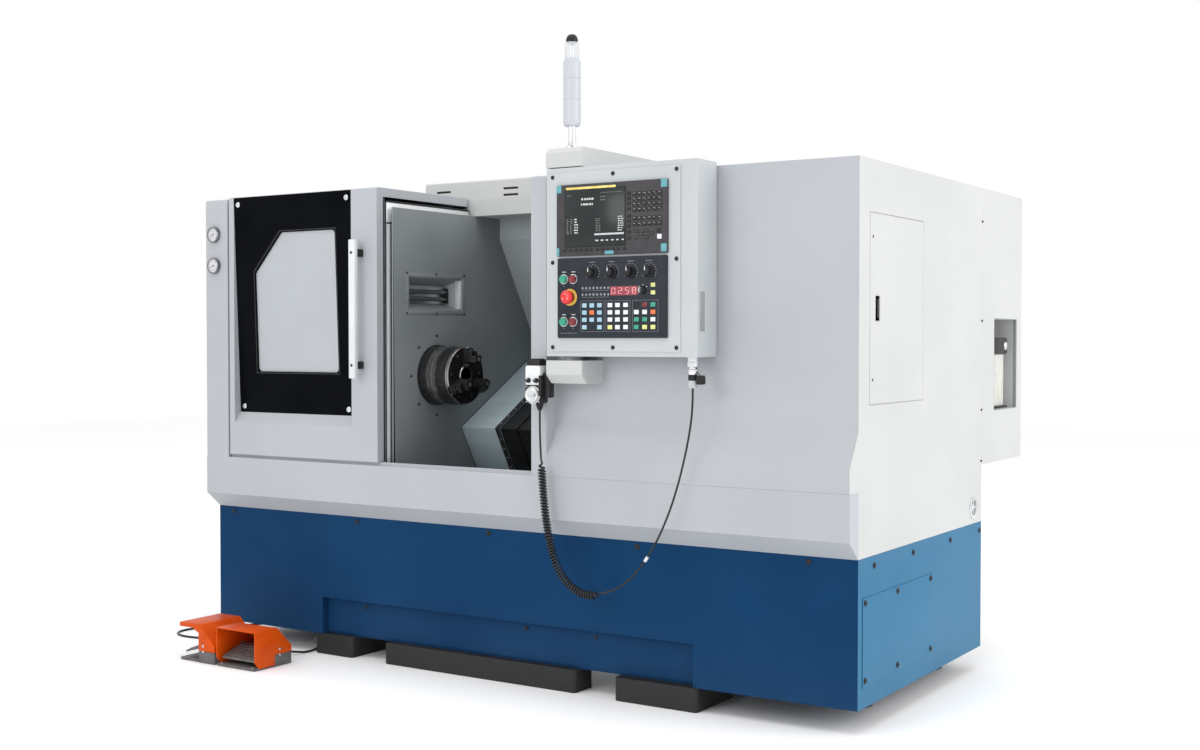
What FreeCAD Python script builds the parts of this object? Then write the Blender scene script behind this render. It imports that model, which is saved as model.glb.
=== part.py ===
"""Slant-bed CNC turning lathe: one STEP file for each piece or group of like pieces.

Working frame while modelling: x from the left end, y from the front of the base (positive to the
back), z from the underside of the base. Every piece is moved to the stored frame when it is written:
the origin is the centre of the footprint on the floor.
"""

import FreeCAD
import Part
import math
import os

V = FreeCAD.Vector

# Base
length = 2600.0
base_depth = 1083.0
base_height = 435.0
base_wall = 8.0
deck_thickness = 16.0
foot_height = 75.0
toe_left = 527.0
toe_right = 2060.0
toe_height = 133.0
toe_recess = 30.0
chip_chute = (900.0, 1900.0, 90.0, 440.0)
floor_bars = ((100.0, 240.0), (480.0, 670.0), (1790.0, 2070.0), (2360.0, 2500.0))
stand_blocks = (
    (485.0, 665.0, 5.0, 245.0),
    (820.0, 1628.0, 0.0, 106.0),
    (1781.0, 2080.0, -9.0, 233.0),
    (485.0, 665.0, 838.0, 1078.0),
    (1781.0, 2080.0, 850.0, 1083.0),
)
levelling_inset = 166.0
end_plate = (30.0, 600.0, 60.0, 320.0)
end_plate_proud = 2.0
screw_head = 4.0
base_screw_x = (77.0, 696.0, 1281.0, 1862.0, 2446.0)
toe_screw_x = (715.0, 1418.0, 1691.0)
end_screw_y = (119.0, 433.0, 769.0, 1063.0)
seam_screw_z = (1472.0, 1130.0, 822.0, 645.0)
wall_bolts = 8
wall_bolt_ring = 142.0

# Covers
cover_top = 1588.0
cover_sheet = 3.0
bulge = 63.0
bulge_bottom = 490.0
sill = 628.0
column_width = 115.0
corner_round = 8.0
left_roof = 1545.0
left_front = 20.0
left_edge = 855.0
post_left = 1500.0
post_right = 1560.0
ledge_top = 801.0
ledge_front = 698.0
beam_front = 452.0
beam_bottom = 1524.0

# Sliding door
door_left = 125.0
door_right = 848.0
door_bottom = 640.0
door_top = 1591.0
door_back = 23.0
door_roof_back = 445.0
door_roof_thick = 31.0
plate_left = 150.0
plate_right = 729.0
plate_bottom = 796.0
plate_top = 1588.0
plate_sunk = 30.0
plate_thick = 5.0
slope_start = 758.0
window = [(250.0, 948.0), (647.0, 948.0), (647.0, 1453.0), (386.0, 1453.0), (250.0, 1309.0)]
window_corner = 15.0
window_lip = 8.0
glass_thick = 6.0
handle_x = 775.0
handle_width = 30.0
handle_bottom = 931.0
handle_top = 1410.0
handle_proud = 50.0
handle_thick = 18.0
standoff_inset = 45.0

# Work area: everything on the slant bed is placed along the slope (s) and square to it (n)
wall_face = 880.0
slope_deg = 30.0
vertex_y = 365.0
vertex_z = 742.0
way_length = 561.0
way_drop = 187.0
bed_left = 300.0
bed_right = 2350.0
bed_top = -60.0
rail_places = (110.0, 470.0)
rail_width = 40.0
rail_height = 30.0
spindle_s = -27.0
spindle_n = 240.0
liner_right = 2300.0
guard_y = 603.0
guard_z = 1443.0

# Spindle and chuck
spindle_bore = 28.0
journal_radius = 75.0
running_gap = 0.05
chuck_radius = 103.0
back_plate_radius = 105.0
chuck_back = 920.0
chuck_face = 1013.0
jaw_front = 1070.0
jaw_width = 32.0
jaw_inner = 38.0
jaw_outer = 98.0
slot_depth = 28.0
moving_gap = 0.3

# Way covers and carriages
fixed_cover_right = 1055.0
segment_length = 172.0
segment_1_left = 952.0
segment_2_left = 1027.0
saddle_left = 1300.0
saddle_length = 300.0
saddle_cover_left = 1102.0
slide_s = 330.0
disc_radius = 150.0
disc_left = 1325.0
disc_right = 1400.0
stations = 12
tailstock_left = 2000.0
tailstock_length = 220.0
quill_radius = 40.0
quill_tip = 1960.0

# Electrical cabinet
cabinet_left = 1500.0
cabinet_bottom = 631.0
cabinet_back = 1540.0
side_window = (1215.0, 1471.0, 817.0, 1137.0)
side_window_depth = 120.0

# Access door in the right end
access_front = 77.0
access_back = 510.0
access_bottom = 875.0
access_top = 1435.0
port_y = 998.0
port_z = 490.0
port_radius = 34.0

# Vent box on the roof
vent_left = 436.0
vent_right = 1400.0
vent_front = 700.0
vent_back = 1000.0
vent_height = 102.0
vent_slot_x = (529.0, 860.0, 1190.0)
lamp = (68.0, 368.0, 1170.0, 1287.0)
lamp_depth = 60.0

# Operator panel
panel_left = 1602.0
panel_right = 2143.0
panel_front = -125.0
panel_back = -3.0
panel_bottom = 1013.0
panel_top = 1598.0
pivot_x = 1664.0
pivot_y = -64.0
pin_radius = 15.0
arm_right = 1732.0
arm_back = 360.0
arm_bottom = 1601.0
arm_top = 1663.0
bracket_bottom = 927.0
bracket_top = 1000.0
face_plate = (1617.0, 2088.0, 1028.0, 1583.0)
screen_unit = (1650.0, 2048.0, 1323.0, 1543.0)
operator_unit = (1653.0, 2046.0, 1070.0, 1317.0)
unit_thick = 8.0
plate_proud = 3.0
knob_places = (1783.0, 1853.0, 1920.0, 1985.0)
knob_z = 1270.0
knob_radius = 16.0
button_x = (1678.0, 1713.0)
button_z = (1252.0, 1120.0)
button_radius = 12.0
button_stroke = 3.0
stop_x = 1700.0
stop_z = 1196.0
stop_radius = 22.0
stop_stroke = 5.0
key_x = 1964.0
key_z = 1213.0
socket_x = 2115.0
socket_y = -100.0

# Signal tower
tower_x = 1667.0
tower_y = -75.0

# Handwheel box
pendant_x = 1548.0
pendant_y = -100.0
pendant_bottom = 841.0
pendant_top = 1005.0
wheel_radius = 26.0
wheel_z = 890.0
selector_spread = 15.0
selector_z = 936.0
selector_radius = 8.0

# Foot switches
switch_front = -340.0
switch_width = 190.0
switch_depth = 175.0
switch_left = 160.0
switch_gap = 10.0
hood_height = 135.0
hood_wall = 4.0
lip_height = 15.0
base_plate = 10.0
rear_block = 42.0
rear_start = 95.0
pedal_pivot = (118.0, 60.0)
gland_length = 10.0
gland_height = 20.0

# Cords
pendant_cord = 6.5
curl_diameter = 24.0
foot_cord = 8.0

origin = V(length / 2, (switch_front + cabinet_back) / 2, -foot_height)
sine = math.sin(math.radians(slope_deg))
cosine = math.cos(math.radians(slope_deg))


def box(x0, x1, y0, y1, z0, z1):
    return Part.makeBox(x1 - x0, y1 - y0, z1 - z0, V(x0, y0, z0))


def rod(start, end, radius):
    return Part.makeCylinder(radius, (end - start).Length, start, end - start)


def ring(start, end, outer, inner):
    return rod(start, end, outer).cut(rod(start, end, inner))


def prism(axis, outline, low, high):
    """A straight-sided solid: an outline in the two other axes, drawn along one axis."""
    place = {
        "x": lambda a, b: V(low, a, b),
        "y": lambda a, b: V(a, low, b),
        "z": lambda a, b: V(a, b, low),
    }[axis]
    along = {"x": V(1, 0, 0), "y": V(0, 1, 0), "z": V(0, 0, 1)}[axis]
    points = [place(a, b) for a, b in outline]
    return Part.Face(Part.makePolygon(points + points[:1])).extrude(along * (high - low))


def sheet(axis, outline, thick, low, high):
    """A bent sheet: an open line of points given its thickness on the right of its direction."""
    normals = []
    for (a0, b0), (a1, b1) in zip(outline, outline[1:]):
        span = math.hypot(a1 - a0, b1 - b0)
        normals.append(((b1 - b0) / span, -(a1 - a0) / span))
    inner = []
    for i, (a, b) in enumerate(outline):
        u = normals[max(i - 1, 0)]
        w = normals[min(i, len(normals) - 1)]
        share = thick / (1 + u[0] * w[0] + u[1] * w[1])
        inner.append((a + (u[0] + w[0]) * share, b + (u[1] + w[1]) * share))
    return prism(axis, outline + inner[::-1], low, high)


def soften(shape, radius, axis, chosen=lambda p: True):
    """Rounds the straight edges that run along one axis and whose middle is chosen."""
    along = {"x": V(1, 0, 0), "y": V(0, 1, 0), "z": V(0, 0, 1)}[axis]
    edges = []
    for e in shape.Edges:
        if len(e.Vertexes) == 2 and e.Curve.TypeId == "Part::GeomLine":
            run = (e.Vertexes[1].Point - e.Vertexes[0].Point).normalize()
            middle = (e.Vertexes[0].Point + e.Vertexes[1].Point) * 0.5
            if abs(run.dot(along)) > 0.999 and chosen(middle):
                edges.append(e)
    return shape.makeFillet(radius, edges)


def fuse(*shapes):
    return shapes[0].multiFuse(list(shapes[1:])).removeSplitter()


def group(*shapes):
    solids = []
    for shape in shapes:
        solids += shape.Solids
    return Part.makeCompound(solids)


def on_slope(s, n):
    """The (y, z) of a point on the slant bed."""
    return vertex_y + s * cosine - n * sine, vertex_z + s * sine + n * cosine


def slant(outline, low, high):
    return prism("x", [on_slope(s, n) for s, n in outline], low, high)


def slant_box(x0, x1, s0, s1, n0, n1):
    return slant([(s0, n0), (s1, n0), (s1, n1), (s0, n1)], x0, x1)


axis_y, axis_z = on_slope(spindle_s, spindle_n)


def along_spindle(x0, x1, radius):
    return rod(V(x0, axis_y, axis_z), V(x1, axis_y, axis_z), radius)


# Base, feet and bed


def base_frame():
    outer = box(0, length, 0, base_depth, 0, base_height)
    toe = box(toe_left, toe_right, 0, toe_recess, 0, toe_height)
    under = base_height - deck_thickness
    back = base_depth - base_wall
    low = box(base_wall, length - base_wall, toe_recess + base_wall, back, 0, toe_height + base_wall)
    high = box(base_wall, length - base_wall, base_wall, back, toe_height + base_wall, under)
    x0, x1, y0, y1 = chip_chute
    chute = box(x0, x1, y0, y1, under, base_height)
    shell = outer.cut(toe).cut(low.fuse(high)).cut(chute)
    bars = [
        box(x0, x1, toe_recess + base_wall, back, 0, base_wall)
        for x0, x1 in floor_bars
    ]
    glands = [rod(V(x, y, -gland_length), V(x, y, 0), foot_cord) for x, y, z in cord_ends()]
    plates = [
        box(-end_plate_proud, 0, *end_plate),
        box(length, length + end_plate_proud, *end_plate),
        box(toe_left + 8, toe_right - 8, toe_recess - 4, toe_recess, 8, toe_height - 5),
    ]
    return fuse(shell, *bars, *plates, *glands)


def cord_ends():
    return left_cord_route[-1], right_cord_route[-1]


def bed_feet():
    blocks = []
    for x0, x1, y0, y1 in stand_blocks:
        block = box(x0, x1, y0, y1, -foot_height, 0)
        blocks.append(soften(block, 14, "z"))
    for x in (levelling_inset, length - levelling_inset):
        for y in (360, base_depth - 100):
            pad = rod(V(x, y, -foot_height), V(x, y, 14 - foot_height), 60)
            stud = rod(V(x, y, 14 - foot_height), V(x, y, 0), 14)
            nut = rod(V(x, y, -22), V(x, y, 0), 22)
            blocks.append(fuse(pad, stud, nut))
    return group(*blocks)


def machine_bed():
    y_back = base_depth - 43
    y_low, z_low = on_slope(20, -190)
    outline = [on_slope(20, bed_top), (y_low, z_low), (y_low, base_height), (y_back, base_height)]
    outline += [(y_back, on_slope(600, bed_top)[1]), on_slope(600, bed_top)]
    body = prism("x", outline, bed_left, bed_right)
    core = box(bed_left, bed_right, 580, 820, 500, 700)
    rails = []
    for s in rail_places:
        half = rail_width / 2
        rails.append(slant_box(900, bed_right, s - half, s + half, bed_top, bed_top + rail_height))
    return fuse(body.cut(core), *rails)


def headstock():
    outline = [(40, bed_top), (420, bed_top), (420, 130), (160, 388), (-175, 388), (-175, 100)]
    body = slant(outline, 340, wall_face - 26)
    nose = along_spindle(wall_face - 26, wall_face - 6, 125)
    bore = along_spindle(300, wall_face, journal_radius + 10)
    front_land = along_spindle(770, wall_face - 6, journal_radius + 10)
    front_land = front_land.cut(along_spindle(770, wall_face - 6, journal_radius + running_gap))
    rear_land = along_spindle(340, 430, journal_radius + 10)
    rear_land = rear_land.cut(along_spindle(340, 430, journal_radius + running_gap))
    return fuse(fuse(body, nose).cut(bore), front_land, rear_land)


# Spindle, chuck and jaws


def spindle():
    shaft = fuse(
        along_spindle(250, 340, 55),
        along_spindle(340, 430, journal_radius),
        along_spindle(430, 770, journal_radius - 6),
        along_spindle(770, wall_face + 4, journal_radius),
        along_spindle(wall_face + 4, chuck_back, back_plate_radius),
    )
    cylinder = fuse(along_spindle(120, 250, 88), along_spindle(70, 120, 50))
    bore = along_spindle(60, chuck_back, spindle_bore)
    return group(shaft.cut(bore), cylinder.cut(bore))


def turned(shape, degrees):
    copy = shape.copy()
    copy.rotate(V(0, axis_y, axis_z), V(1, 0, 0), degrees)
    return copy


def chuck_body():
    body = along_spindle(chuck_back, chuck_face, chuck_radius)
    rims = [e for e in body.Edges if abs(e.Length - 2 * math.pi * chuck_radius) < 0.1]
    body = body.makeChamfer(3, rims)
    body = body.cut(along_spindle(chuck_back, chuck_face, spindle_bore + 5))
    half = jaw_width / 2 - 1 + moving_gap
    slot = box(
        chuck_face - slot_depth, chuck_face, axis_y - half, axis_y + half,
        axis_z + spindle_bore + 8, axis_z + chuck_radius + 5,
    )
    for turn in (0, 120, 240):
        body = body.cut(turned(slot, turn))
    return body


def jaw(turn):
    half = jaw_width / 2
    base = box(
        chuck_face - slot_depth + moving_gap, chuck_face + moving_gap, axis_y - half + 1,
        axis_y + half - 1, axis_z + jaw_inner + 4, axis_z + jaw_outer - 3,
    )
    steps = [
        (chuck_face + moving_gap, jaw_inner + 10), (jaw_front, jaw_inner + 10),
        (jaw_front, jaw_outer - 26), (jaw_front - 20, jaw_outer - 26),
        (jaw_front - 20, jaw_outer - 10), (jaw_front - 38, jaw_outer - 10),
        (jaw_front - 38, jaw_outer), (chuck_face + moving_gap, jaw_outer),
    ]
    top = prism("y", [(x, axis_z + r) for x, r in steps], axis_y - half, axis_y + half)
    return turned(fuse(base, top), turn)


# Work area


def splash_guard():
    low_y, low_z = on_slope(0, -way_drop)
    inner = [(guard_y, beam_bottom), (guard_y, guard_z)]
    inner += [on_slope(way_length, 2), on_slope(-2, 2), (low_y - 2, low_z)]
    inner += [(low_y - 2, base_height)]
    front = [(8, base_height), (8, sill - 20), (5 - left_front, sill - 20), (5 - left_front, beam_bottom)]
    left = prism("x", front + inner, wall_face - 6, wall_face)
    left = left.cut(along_spindle(wall_face - 6, wall_face, back_plate_radius + 4))
    y0, y1, z0, z1 = lamp
    left = left.cut(box(wall_face - 6, wall_face, y0, y1, z0, z1))
    right = prism("x", [(10, base_height), (10, beam_bottom)] + inner,
                  liner_right, liner_right + cover_sheet)
    top_y, top_z = on_slope(way_length, 2)
    back = sheet("x", [(top_y, top_z), (guard_y, guard_z), (guard_y, beam_bottom)],
                 cover_sheet, wall_face - 6, liner_right + cover_sheet)
    apron = sheet("x", [(-12, sill - 4), (95, base_height + cover_sheet)], cover_sheet, wall_face, liner_right)
    return fuse(left, right, back, apron, lamp_pan())


def frustum(x0, x1, grow):
    """A pyramid-sided block: the lamp opening at x1, narrower by grow on each side at x0."""
    y0, y1, z0, z1 = lamp
    faces = []
    for x, d in ((x0, grow), (x1, 0)):
        points = [V(x, y0 + d, z0 + d), V(x, y1 - d, z0 + d), V(x, y1 - d, z1 - d), V(x, y0 + d, z1 - d)]
        faces.append(Part.makePolygon(points + points[:1]))
    return Part.makeLoft(faces, True, True)


def lamp_pan():
    y0, y1, z0, z1 = lamp
    block = box(wall_face - lamp_depth - 14, wall_face - 6, y0 - 6, y1 + 6, z0 - 6, z1 + 6)
    hollow = frustum(wall_face - lamp_depth, wall_face, 26)
    seat = box(wall_face - lamp_depth - 14, wall_face - lamp_depth, y0 + 20, y1 - 20, z0 + 20, z1 - 20)
    return block.cut(hollow).cut(seat)


def work_light():
    y0, y1, z0, z1 = lamp
    return box(wall_face - lamp_depth - 14, wall_face - lamp_depth, y0 + 20, y1 - 20, z0 + 20, z1 - 20)


def cover_segment(x0, x1, depth):
    """One telescopic cover over the ways, lying depth below the outermost one."""
    line = [on_slope(way_length - depth, -depth), on_slope(depth, -depth), on_slope(depth, -way_drop + 4)]
    return sheet("x", line[::-1], 2.5, x0, x1)


def way_cover():
    cover = cover_segment(wall_face, fixed_cover_right, 0)
    line = [on_slope(way_length, 3), on_slope(-3, 3), on_slope(-3, -way_drop + 4)]
    wiper = sheet("x", line[::-1], 3, fixed_cover_right - 12, fixed_cover_right)
    return group(cover, wiper)


def moving_segment(left, depth):
    """A cover segment with the frame that carries it along the ways."""
    top = cover_segment(left, left + segment_length, depth)
    inner = depth + 2.5
    outline = [(inner, -inner), (way_length - depth, -inner), (way_length - depth, bed_top + moving_gap)]
    outline += [(inner, bed_top + moving_gap)]
    frame = slant(outline, left, left + 5)
    for s in rail_places:
        reach = rail_width / 2 + 2
        high = bed_top + rail_height + moving_gap
        frame = frame.cut(slant_box(left, left + 5, s - reach, s + reach, bed_top, high))
    return fuse(top, frame)


def saddle():
    right = saddle_left + saddle_length
    low = bed_top + rail_height + moving_gap
    body = slant([(60, low), (540, low), (540, 35), (60, 35)], saddle_left, right)
    for s in rail_places:
        reach = rail_width / 2 + 1
        body = body.cut(slant_box(saddle_left, right, s - reach, s + reach, low, low + 1))
    guides = [slant_box(saddle_left + 45, right - 45, s - 18, s + 18, 35, 55) for s in (150, 450)]
    sheet_left = cover_segment(saddle_cover_left, saddle_left, 16)
    lip = slant_box(saddle_left - 5, saddle_left, 60, 540, low, -17)
    return fuse(body, *guides, sheet_left, lip)


def turret_slide():
    x0, x1 = saddle_left + 35, saddle_left + saddle_length - 35
    low = 35 + moving_gap
    plate = slant_box(x0, x1, slide_s - 110, slide_s + 170, low, 60)
    block = slant_box(disc_right + 6, x1, slide_s - 110, slide_s + 170, 60, 110)
    for s in (150, 450):
        plate = plate.cut(slant_box(x0, x1, s - 18 - moving_gap, s + 18 + moving_gap, low, 55.3))
    groove = slant_box(saddle_left + 45 - moving_gap, saddle_left + saddle_length - 45 + moving_gap,
                       slide_s - 400, slide_s + 400, low - 1, 55 + moving_gap)
    plate = plate.cut(groove)
    housing = slant_box(disc_right + 6, x1, slide_s - 85, slide_s + 110, 110, spindle_n + 90)
    centre = on_slope(slide_s, spindle_n)
    boss = rod(V(disc_right + moving_gap, *centre), V(disc_right + 6, *centre), 70)
    return fuse(plate, block, housing, boss)


def turret_disc():
    centre = on_slope(slide_s, spindle_n)
    angles = [2 * math.pi * (i + 0.5) / stations for i in range(stations)]
    outline = [(centre[0] + disc_radius * math.cos(a), centre[1] + disc_radius * math.sin(a)) for a in angles]
    disc = prism("x", outline, disc_left, disc_right)
    nose = rod(V(disc_left - 12, *centre), V(disc_left, *centre), 55)
    flat = disc_radius * math.cos(math.pi / stations)
    tools = []
    for i in range(0, stations, 2):
        holder = box(disc_left + 12, disc_left + 52, -18, 18, flat, flat + 30)
        if i % 4 == 0:
            tip = box(disc_left - 12, disc_left + 12, -9, 9, flat + 6, flat + 26)
        else:
            tip = rod(V(disc_left - 38, 0, flat + 16), V(disc_left + 12, 0, flat + 16), 10)
        tool = holder.fuse(tip)
        tool.rotate(V(0, 0, 0), V(1, 0, 0), 360 * i / stations)
        tool.translate(V(0, *centre))
        tools.append(tool)
    return group(fuse(disc, nose), *tools)


def tailstock():
    right = tailstock_left + tailstock_length
    low = bed_top + rail_height + moving_gap
    foot = slant([(60, low), (540, low), (540, 40), (260, 80), (150, 300), (-110, 320), (-110, 160)],
                 tailstock_left, right)
    bore = along_spindle(tailstock_left, right, quill_radius + running_gap)
    return foot.cut(bore)


def quill():
    body = along_spindle(tailstock_left - 20, tailstock_left + tailstock_length - 20, quill_radius)
    point = Part.makeCone(1, 17, tailstock_left - 20 - quill_tip, V(quill_tip, axis_y, axis_z), V(1, 0, 0))
    return fuse(body, point)


# Fixed covers


def front_skirt():
    line = [(-bulge + 43, sill), (-bulge, sill), (-bulge, bulge_bottom), (0, base_height)]
    skin = sheet("x", line[::-1], cover_sheet, 0, length)
    skin = skin.cut(box(0, length, 0, 50, base_height, sill))
    ends = [
        prism("x", [(0, base_height), (0, sill), (-bulge, sill), (-bulge, bulge_bottom)], x, x + cover_sheet)
        for x in (0, length - cover_sheet)
    ]
    column = box(0, column_width, -bulge, -left_front, sill, cover_top - 2)
    column = soften(column, corner_round, "x", lambda p: p.z > sill + 10 and p.y < -bulge + 5)
    column = soften(column, 4, "z", lambda p: p.y < -bulge + 5)
    hollow = box(cover_sheet, column_width - cover_sheet, -bulge + cover_sheet, -left_front, sill - cover_sheet,
                 cover_top - 2 - cover_sheet)
    rail = box(column_width + 3, post_left, -48, -38, sill, door_bottom - moving_gap)
    return fuse(skin, *ends, column.cut(hollow), rail)


def headstock_cover():
    t = cover_sheet
    front = box(0, left_edge, -left_front, t - left_front, sill, left_roof)
    roof = box(0, left_edge, -left_front, beam_front, left_roof - t, left_roof)
    end = prism(
        "x",
        [(0, base_height), (0, sill), (-left_front, sill), (-left_front, left_roof), (beam_front, left_roof),
         (beam_front, cover_top), (base_depth, cover_top), (base_depth, base_height)],
        0, t,
    )
    edge = box(left_edge - t, left_edge, -left_front, 12, sill, left_roof)
    side = box(left_edge - t, left_edge, -left_front, beam_front, left_roof - 75, left_roof)
    return fuse(front, roof, end, edge, side)


def right_front_cover():
    t = cover_sheet
    right = length - t
    top = cover_top
    post = box(post_left, post_right, -bulge, 0, sill, top)
    post = soften(post, corner_round, "x", lambda p: p.z > sill + 10 and p.y < -bulge + 5)
    hollow = box(post_left + t, post_right - t, -bulge + t, 0, sill, top - t)
    line = [(0, top), (0, ledge_top), (-bulge, ledge_front), (-bulge, sill)]
    front = sheet("x", line[::-1], t, post_right - t, right)
    roof = box(post_left, right, 0, beam_front, top - t, top)
    return fuse(post.cut(hollow), front, roof)


def right_end_cover():
    t = cover_sheet
    outline = [(0, base_height), (0, sill), (-bulge, sill), (-bulge, ledge_front), (0, ledge_top),
               (0, cover_top), (base_depth, cover_top), (base_depth, base_height)]
    wall = prism("x", outline, length - t, length)
    wall = wall.cut(box(length - t, length, access_front, access_back, access_bottom, access_top))
    wall = wall.cut(rod(V(length - t, port_y, port_z), V(length, port_y, port_z), port_radius))
    lip = box(length - t - 3, length - t - moving_gap, access_front - 12, access_back + 12,
              access_bottom - 12, access_top + 12)
    lip = lip.cut(box(length - 10, length, access_front + 10, access_back - 10,
                      access_bottom + 10, access_top - 10))
    joggle = box(length - t - moving_gap, length - t, access_front - 12, access_back + 12,
                 access_bottom - 12, access_top + 12)
    joggle = joggle.cut(box(length - 10, length, access_front, access_back, access_bottom, access_top))
    return fuse(wall, joggle, lip)


def access_door():
    gap = 2
    door = box(length - cover_sheet, length, access_front + gap, access_back - gap,
               access_bottom + gap, access_top - gap)
    y0, z0, z1 = access_front + 42, 1117, 1196
    door = door.cut(box(length - cover_sheet, length, y0, y0 + 36, z0, z1))
    latch = box(length - 12, length - 1, y0, y0 + 36, z0, z1)
    return group(door, latch)


def roof_rear_cover():
    t = cover_sheet
    left, right = t, length - t
    back = base_depth
    roof = box(left, right, beam_front, back, cover_top - t, cover_top)
    beam = box(left, right, beam_front, beam_front + t, beam_bottom, cover_top)
    under = box(left, right, beam_front, guard_y, beam_bottom, beam_bottom + t)
    wall = box(left, right, back - t, back, base_height, cover_top)
    vent = box(vent_left, vent_right, vent_front, vent_back, cover_top, cover_top + vent_height)
    vent = soften(vent, 8, "x", lambda p: p.z > cover_top + 5)
    vent = vent.cut(box(vent_left + t, vent_right - t, vent_front + t, vent_back - t, cover_top,
                        cover_top + vent_height - t))
    for x in vent_slot_x:
        for rise in (vent_height - 63, vent_height - 38):
            vent = vent.cut(box(x - 35, x + 35, vent_front - 1, vent_front + t + 1,
                                cover_top + rise - 4, cover_top + rise + 4))
    return fuse(roof, beam, under, wall, vent)


# Electrical cabinet


def electrical_cabinet():
    t = cover_sheet
    back = cabinet_back - 10
    shell = box(cabinet_left, length, base_depth, back, cabinet_bottom, cover_top)
    shell = shell.cut(box(cabinet_left + t, length - t, base_depth + t, back - t,
                          cabinet_bottom + t, cover_top - t))
    shell = shell.cut(box(cabinet_left + 60, length - 60, back - t, back, cabinet_bottom + 60, cover_top - 60))
    y0, y1, z0, z1 = side_window
    pocket = box(length - side_window_depth, length, y0 - t, y1 + t, z0 - t, z1 + t)
    hollow = box(length - side_window_depth + t, length, y0, y1, z0, z1)
    return fuse(shell, pocket).cut(hollow)


def cabinet_door():
    back = cabinet_back - 10
    panel = box(cabinet_left + 40, length - 40, back + moving_gap, back + 4, cabinet_bottom + 40, cover_top - 40)
    grip = box(length - 110, length - 85, back + 4, cabinet_back, 1040, 1200)
    return group(panel, grip)


def lubrication_unit():
    y0, y1, z0, z1 = side_window
    x0 = length - side_window_depth + cover_sheet
    bottle = box(x0 + 12, x0 + 92, y0 + 50, y1 - 60, z0 + 8, z1 - 110)
    bottle = soften(bottle, 14, "z")
    head = box(x0, x0 + 100, y0 + 40, y1 - 50, z1 - 110, z1 - 50)
    plinth = box(x0 + 2, x0 + 100, y0 + 40, y1 - 50, z0, z0 + 8)
    return group(bottle, head, plinth)


# Operator panel


def panel_arm():
    left = panel_left - 1
    duct = box(left, arm_right, panel_front, arm_back, arm_bottom, arm_top)
    nose = [e for e in duct.Edges if abs(e.CenterOfMass.y - panel_front) < 0.1
            and abs(e.CenterOfMass.z - arm_top) < 0.1]
    duct = duct.makeChamfer(16, nose)
    pad = box(left, arm_right, 20, arm_back, cover_top, arm_bottom)
    hole = rod(V(pivot_x, pivot_y, arm_bottom), V(pivot_x, pivot_y, arm_bottom + 26), pin_radius + running_gap)
    bracket = box(left + 1, arm_right + 5, panel_front, 0, bracket_bottom, bracket_top)
    front_edge = [e for e in bracket.Edges if abs(e.CenterOfMass.y - panel_front) < 0.1
                  and abs(e.CenterOfMass.z - bracket_bottom) < 0.1]
    bracket = bracket.makeChamfer(28, front_edge)
    collar = rod(V(pivot_x, pivot_y, bracket_top), V(pivot_x, pivot_y, panel_bottom - moving_gap), 30)
    bore = rod(V(pivot_x, pivot_y, bracket_top - 20), V(pivot_x, pivot_y, panel_bottom),
               pin_radius + running_gap)
    return group(fuse(duct, pad).cut(hole), fuse(bracket, collar).cut(bore))


def panel_housing():
    t = cover_sheet
    body = box(panel_left, panel_right, panel_front, panel_back, panel_bottom, panel_top)
    near_pivot = lambda p: p.x < panel_left + 5 and p.y > panel_back - 5
    body = soften(body, panel_back - pivot_y - 1, "z", near_pivot)
    body = soften(body, 5, "z", lambda p: p.y < panel_front + 5)
    inner = box(panel_left + t, panel_right - t, panel_front + t, panel_back - t, panel_bottom + t, panel_top - t)
    inner = soften(inner, panel_back - pivot_y - 5, "z",
                   lambda p: p.x < panel_left + 5 and p.y > panel_back - 5)
    x0, x1, z0, z1 = face_plate
    mouth = box(x0 + 12, x1 - 12, panel_front, panel_front + t, z0 + 12, z1 - 12)
    slot = box(panel_right - t, panel_right, panel_front + 17, panel_front + 48, 1090, 1207)
    pins = [
        rod(V(pivot_x, pivot_y, panel_top), V(pivot_x, pivot_y, panel_top + 28), pin_radius),
        rod(V(pivot_x, pivot_y, panel_bottom - 28), V(pivot_x, pivot_y, panel_bottom), pin_radius),
    ]
    shell = fuse(body.cut(inner).cut(mouth).cut(slot), *pins)
    plate = box(x0, x1, panel_front - plate_proud, panel_front, z0, z1)
    socket = fuse(
        rod(V(socket_x, socket_y, panel_bottom - 30), V(socket_x, socket_y, panel_bottom), 16),
        rod(V(socket_x, socket_y, panel_bottom - 60), V(socket_x, socket_y, panel_bottom - 30), 11.5),
        rod(V(socket_x, socket_y, panel_bottom - 92), V(socket_x, socket_y, panel_bottom - 60), 13),
    )
    return group(shell, plate, socket)


unit_face = panel_front - plate_proud - unit_thick


def unit_block(place):
    x0, x1, z0, z1 = place
    block = box(x0, x1, unit_face, panel_front - plate_proud, z0, z1)
    return soften(block, 4, "y")


def knob(x):
    body = rod(V(x, unit_face - 26, knob_z), V(x, unit_face - moving_gap, knob_z), knob_radius)
    skirt = rod(V(x, unit_face - 6, knob_z), V(x, unit_face - moving_gap, knob_z), knob_radius + 3)
    pointer = box(x - 1.5, x + 1.5, unit_face - 28, unit_face - 26, knob_z + 2, knob_z + knob_radius - 1)
    return fuse(body, skirt, pointer)


def push_button(x, z):
    shank = rod(V(x, unit_face - 12, z), V(x, unit_face - button_stroke - moving_gap, z), button_radius)
    rims = [e for e in shank.Edges if abs(e.CenterOfMass.y - unit_face + 12) < 0.1]
    shank = shank.makeFillet(2, rims)
    return shank


def button_bezel(x, z, radius):
    return ring(V(x, unit_face - 3, z), V(x, unit_face, z), radius + 4, radius + moving_gap)


def operator_block():
    """The operator unit with the bezels that its buttons run in."""
    block = unit_block(operator_unit)
    bezels = [button_bezel(x, z, button_radius) for x in button_x for z in button_z]
    collar = ring(V(stop_x, unit_face - 8, stop_z), V(stop_x, unit_face, stop_z), 26, 12 + moving_gap)
    return fuse(block, *bezels, collar)


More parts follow.
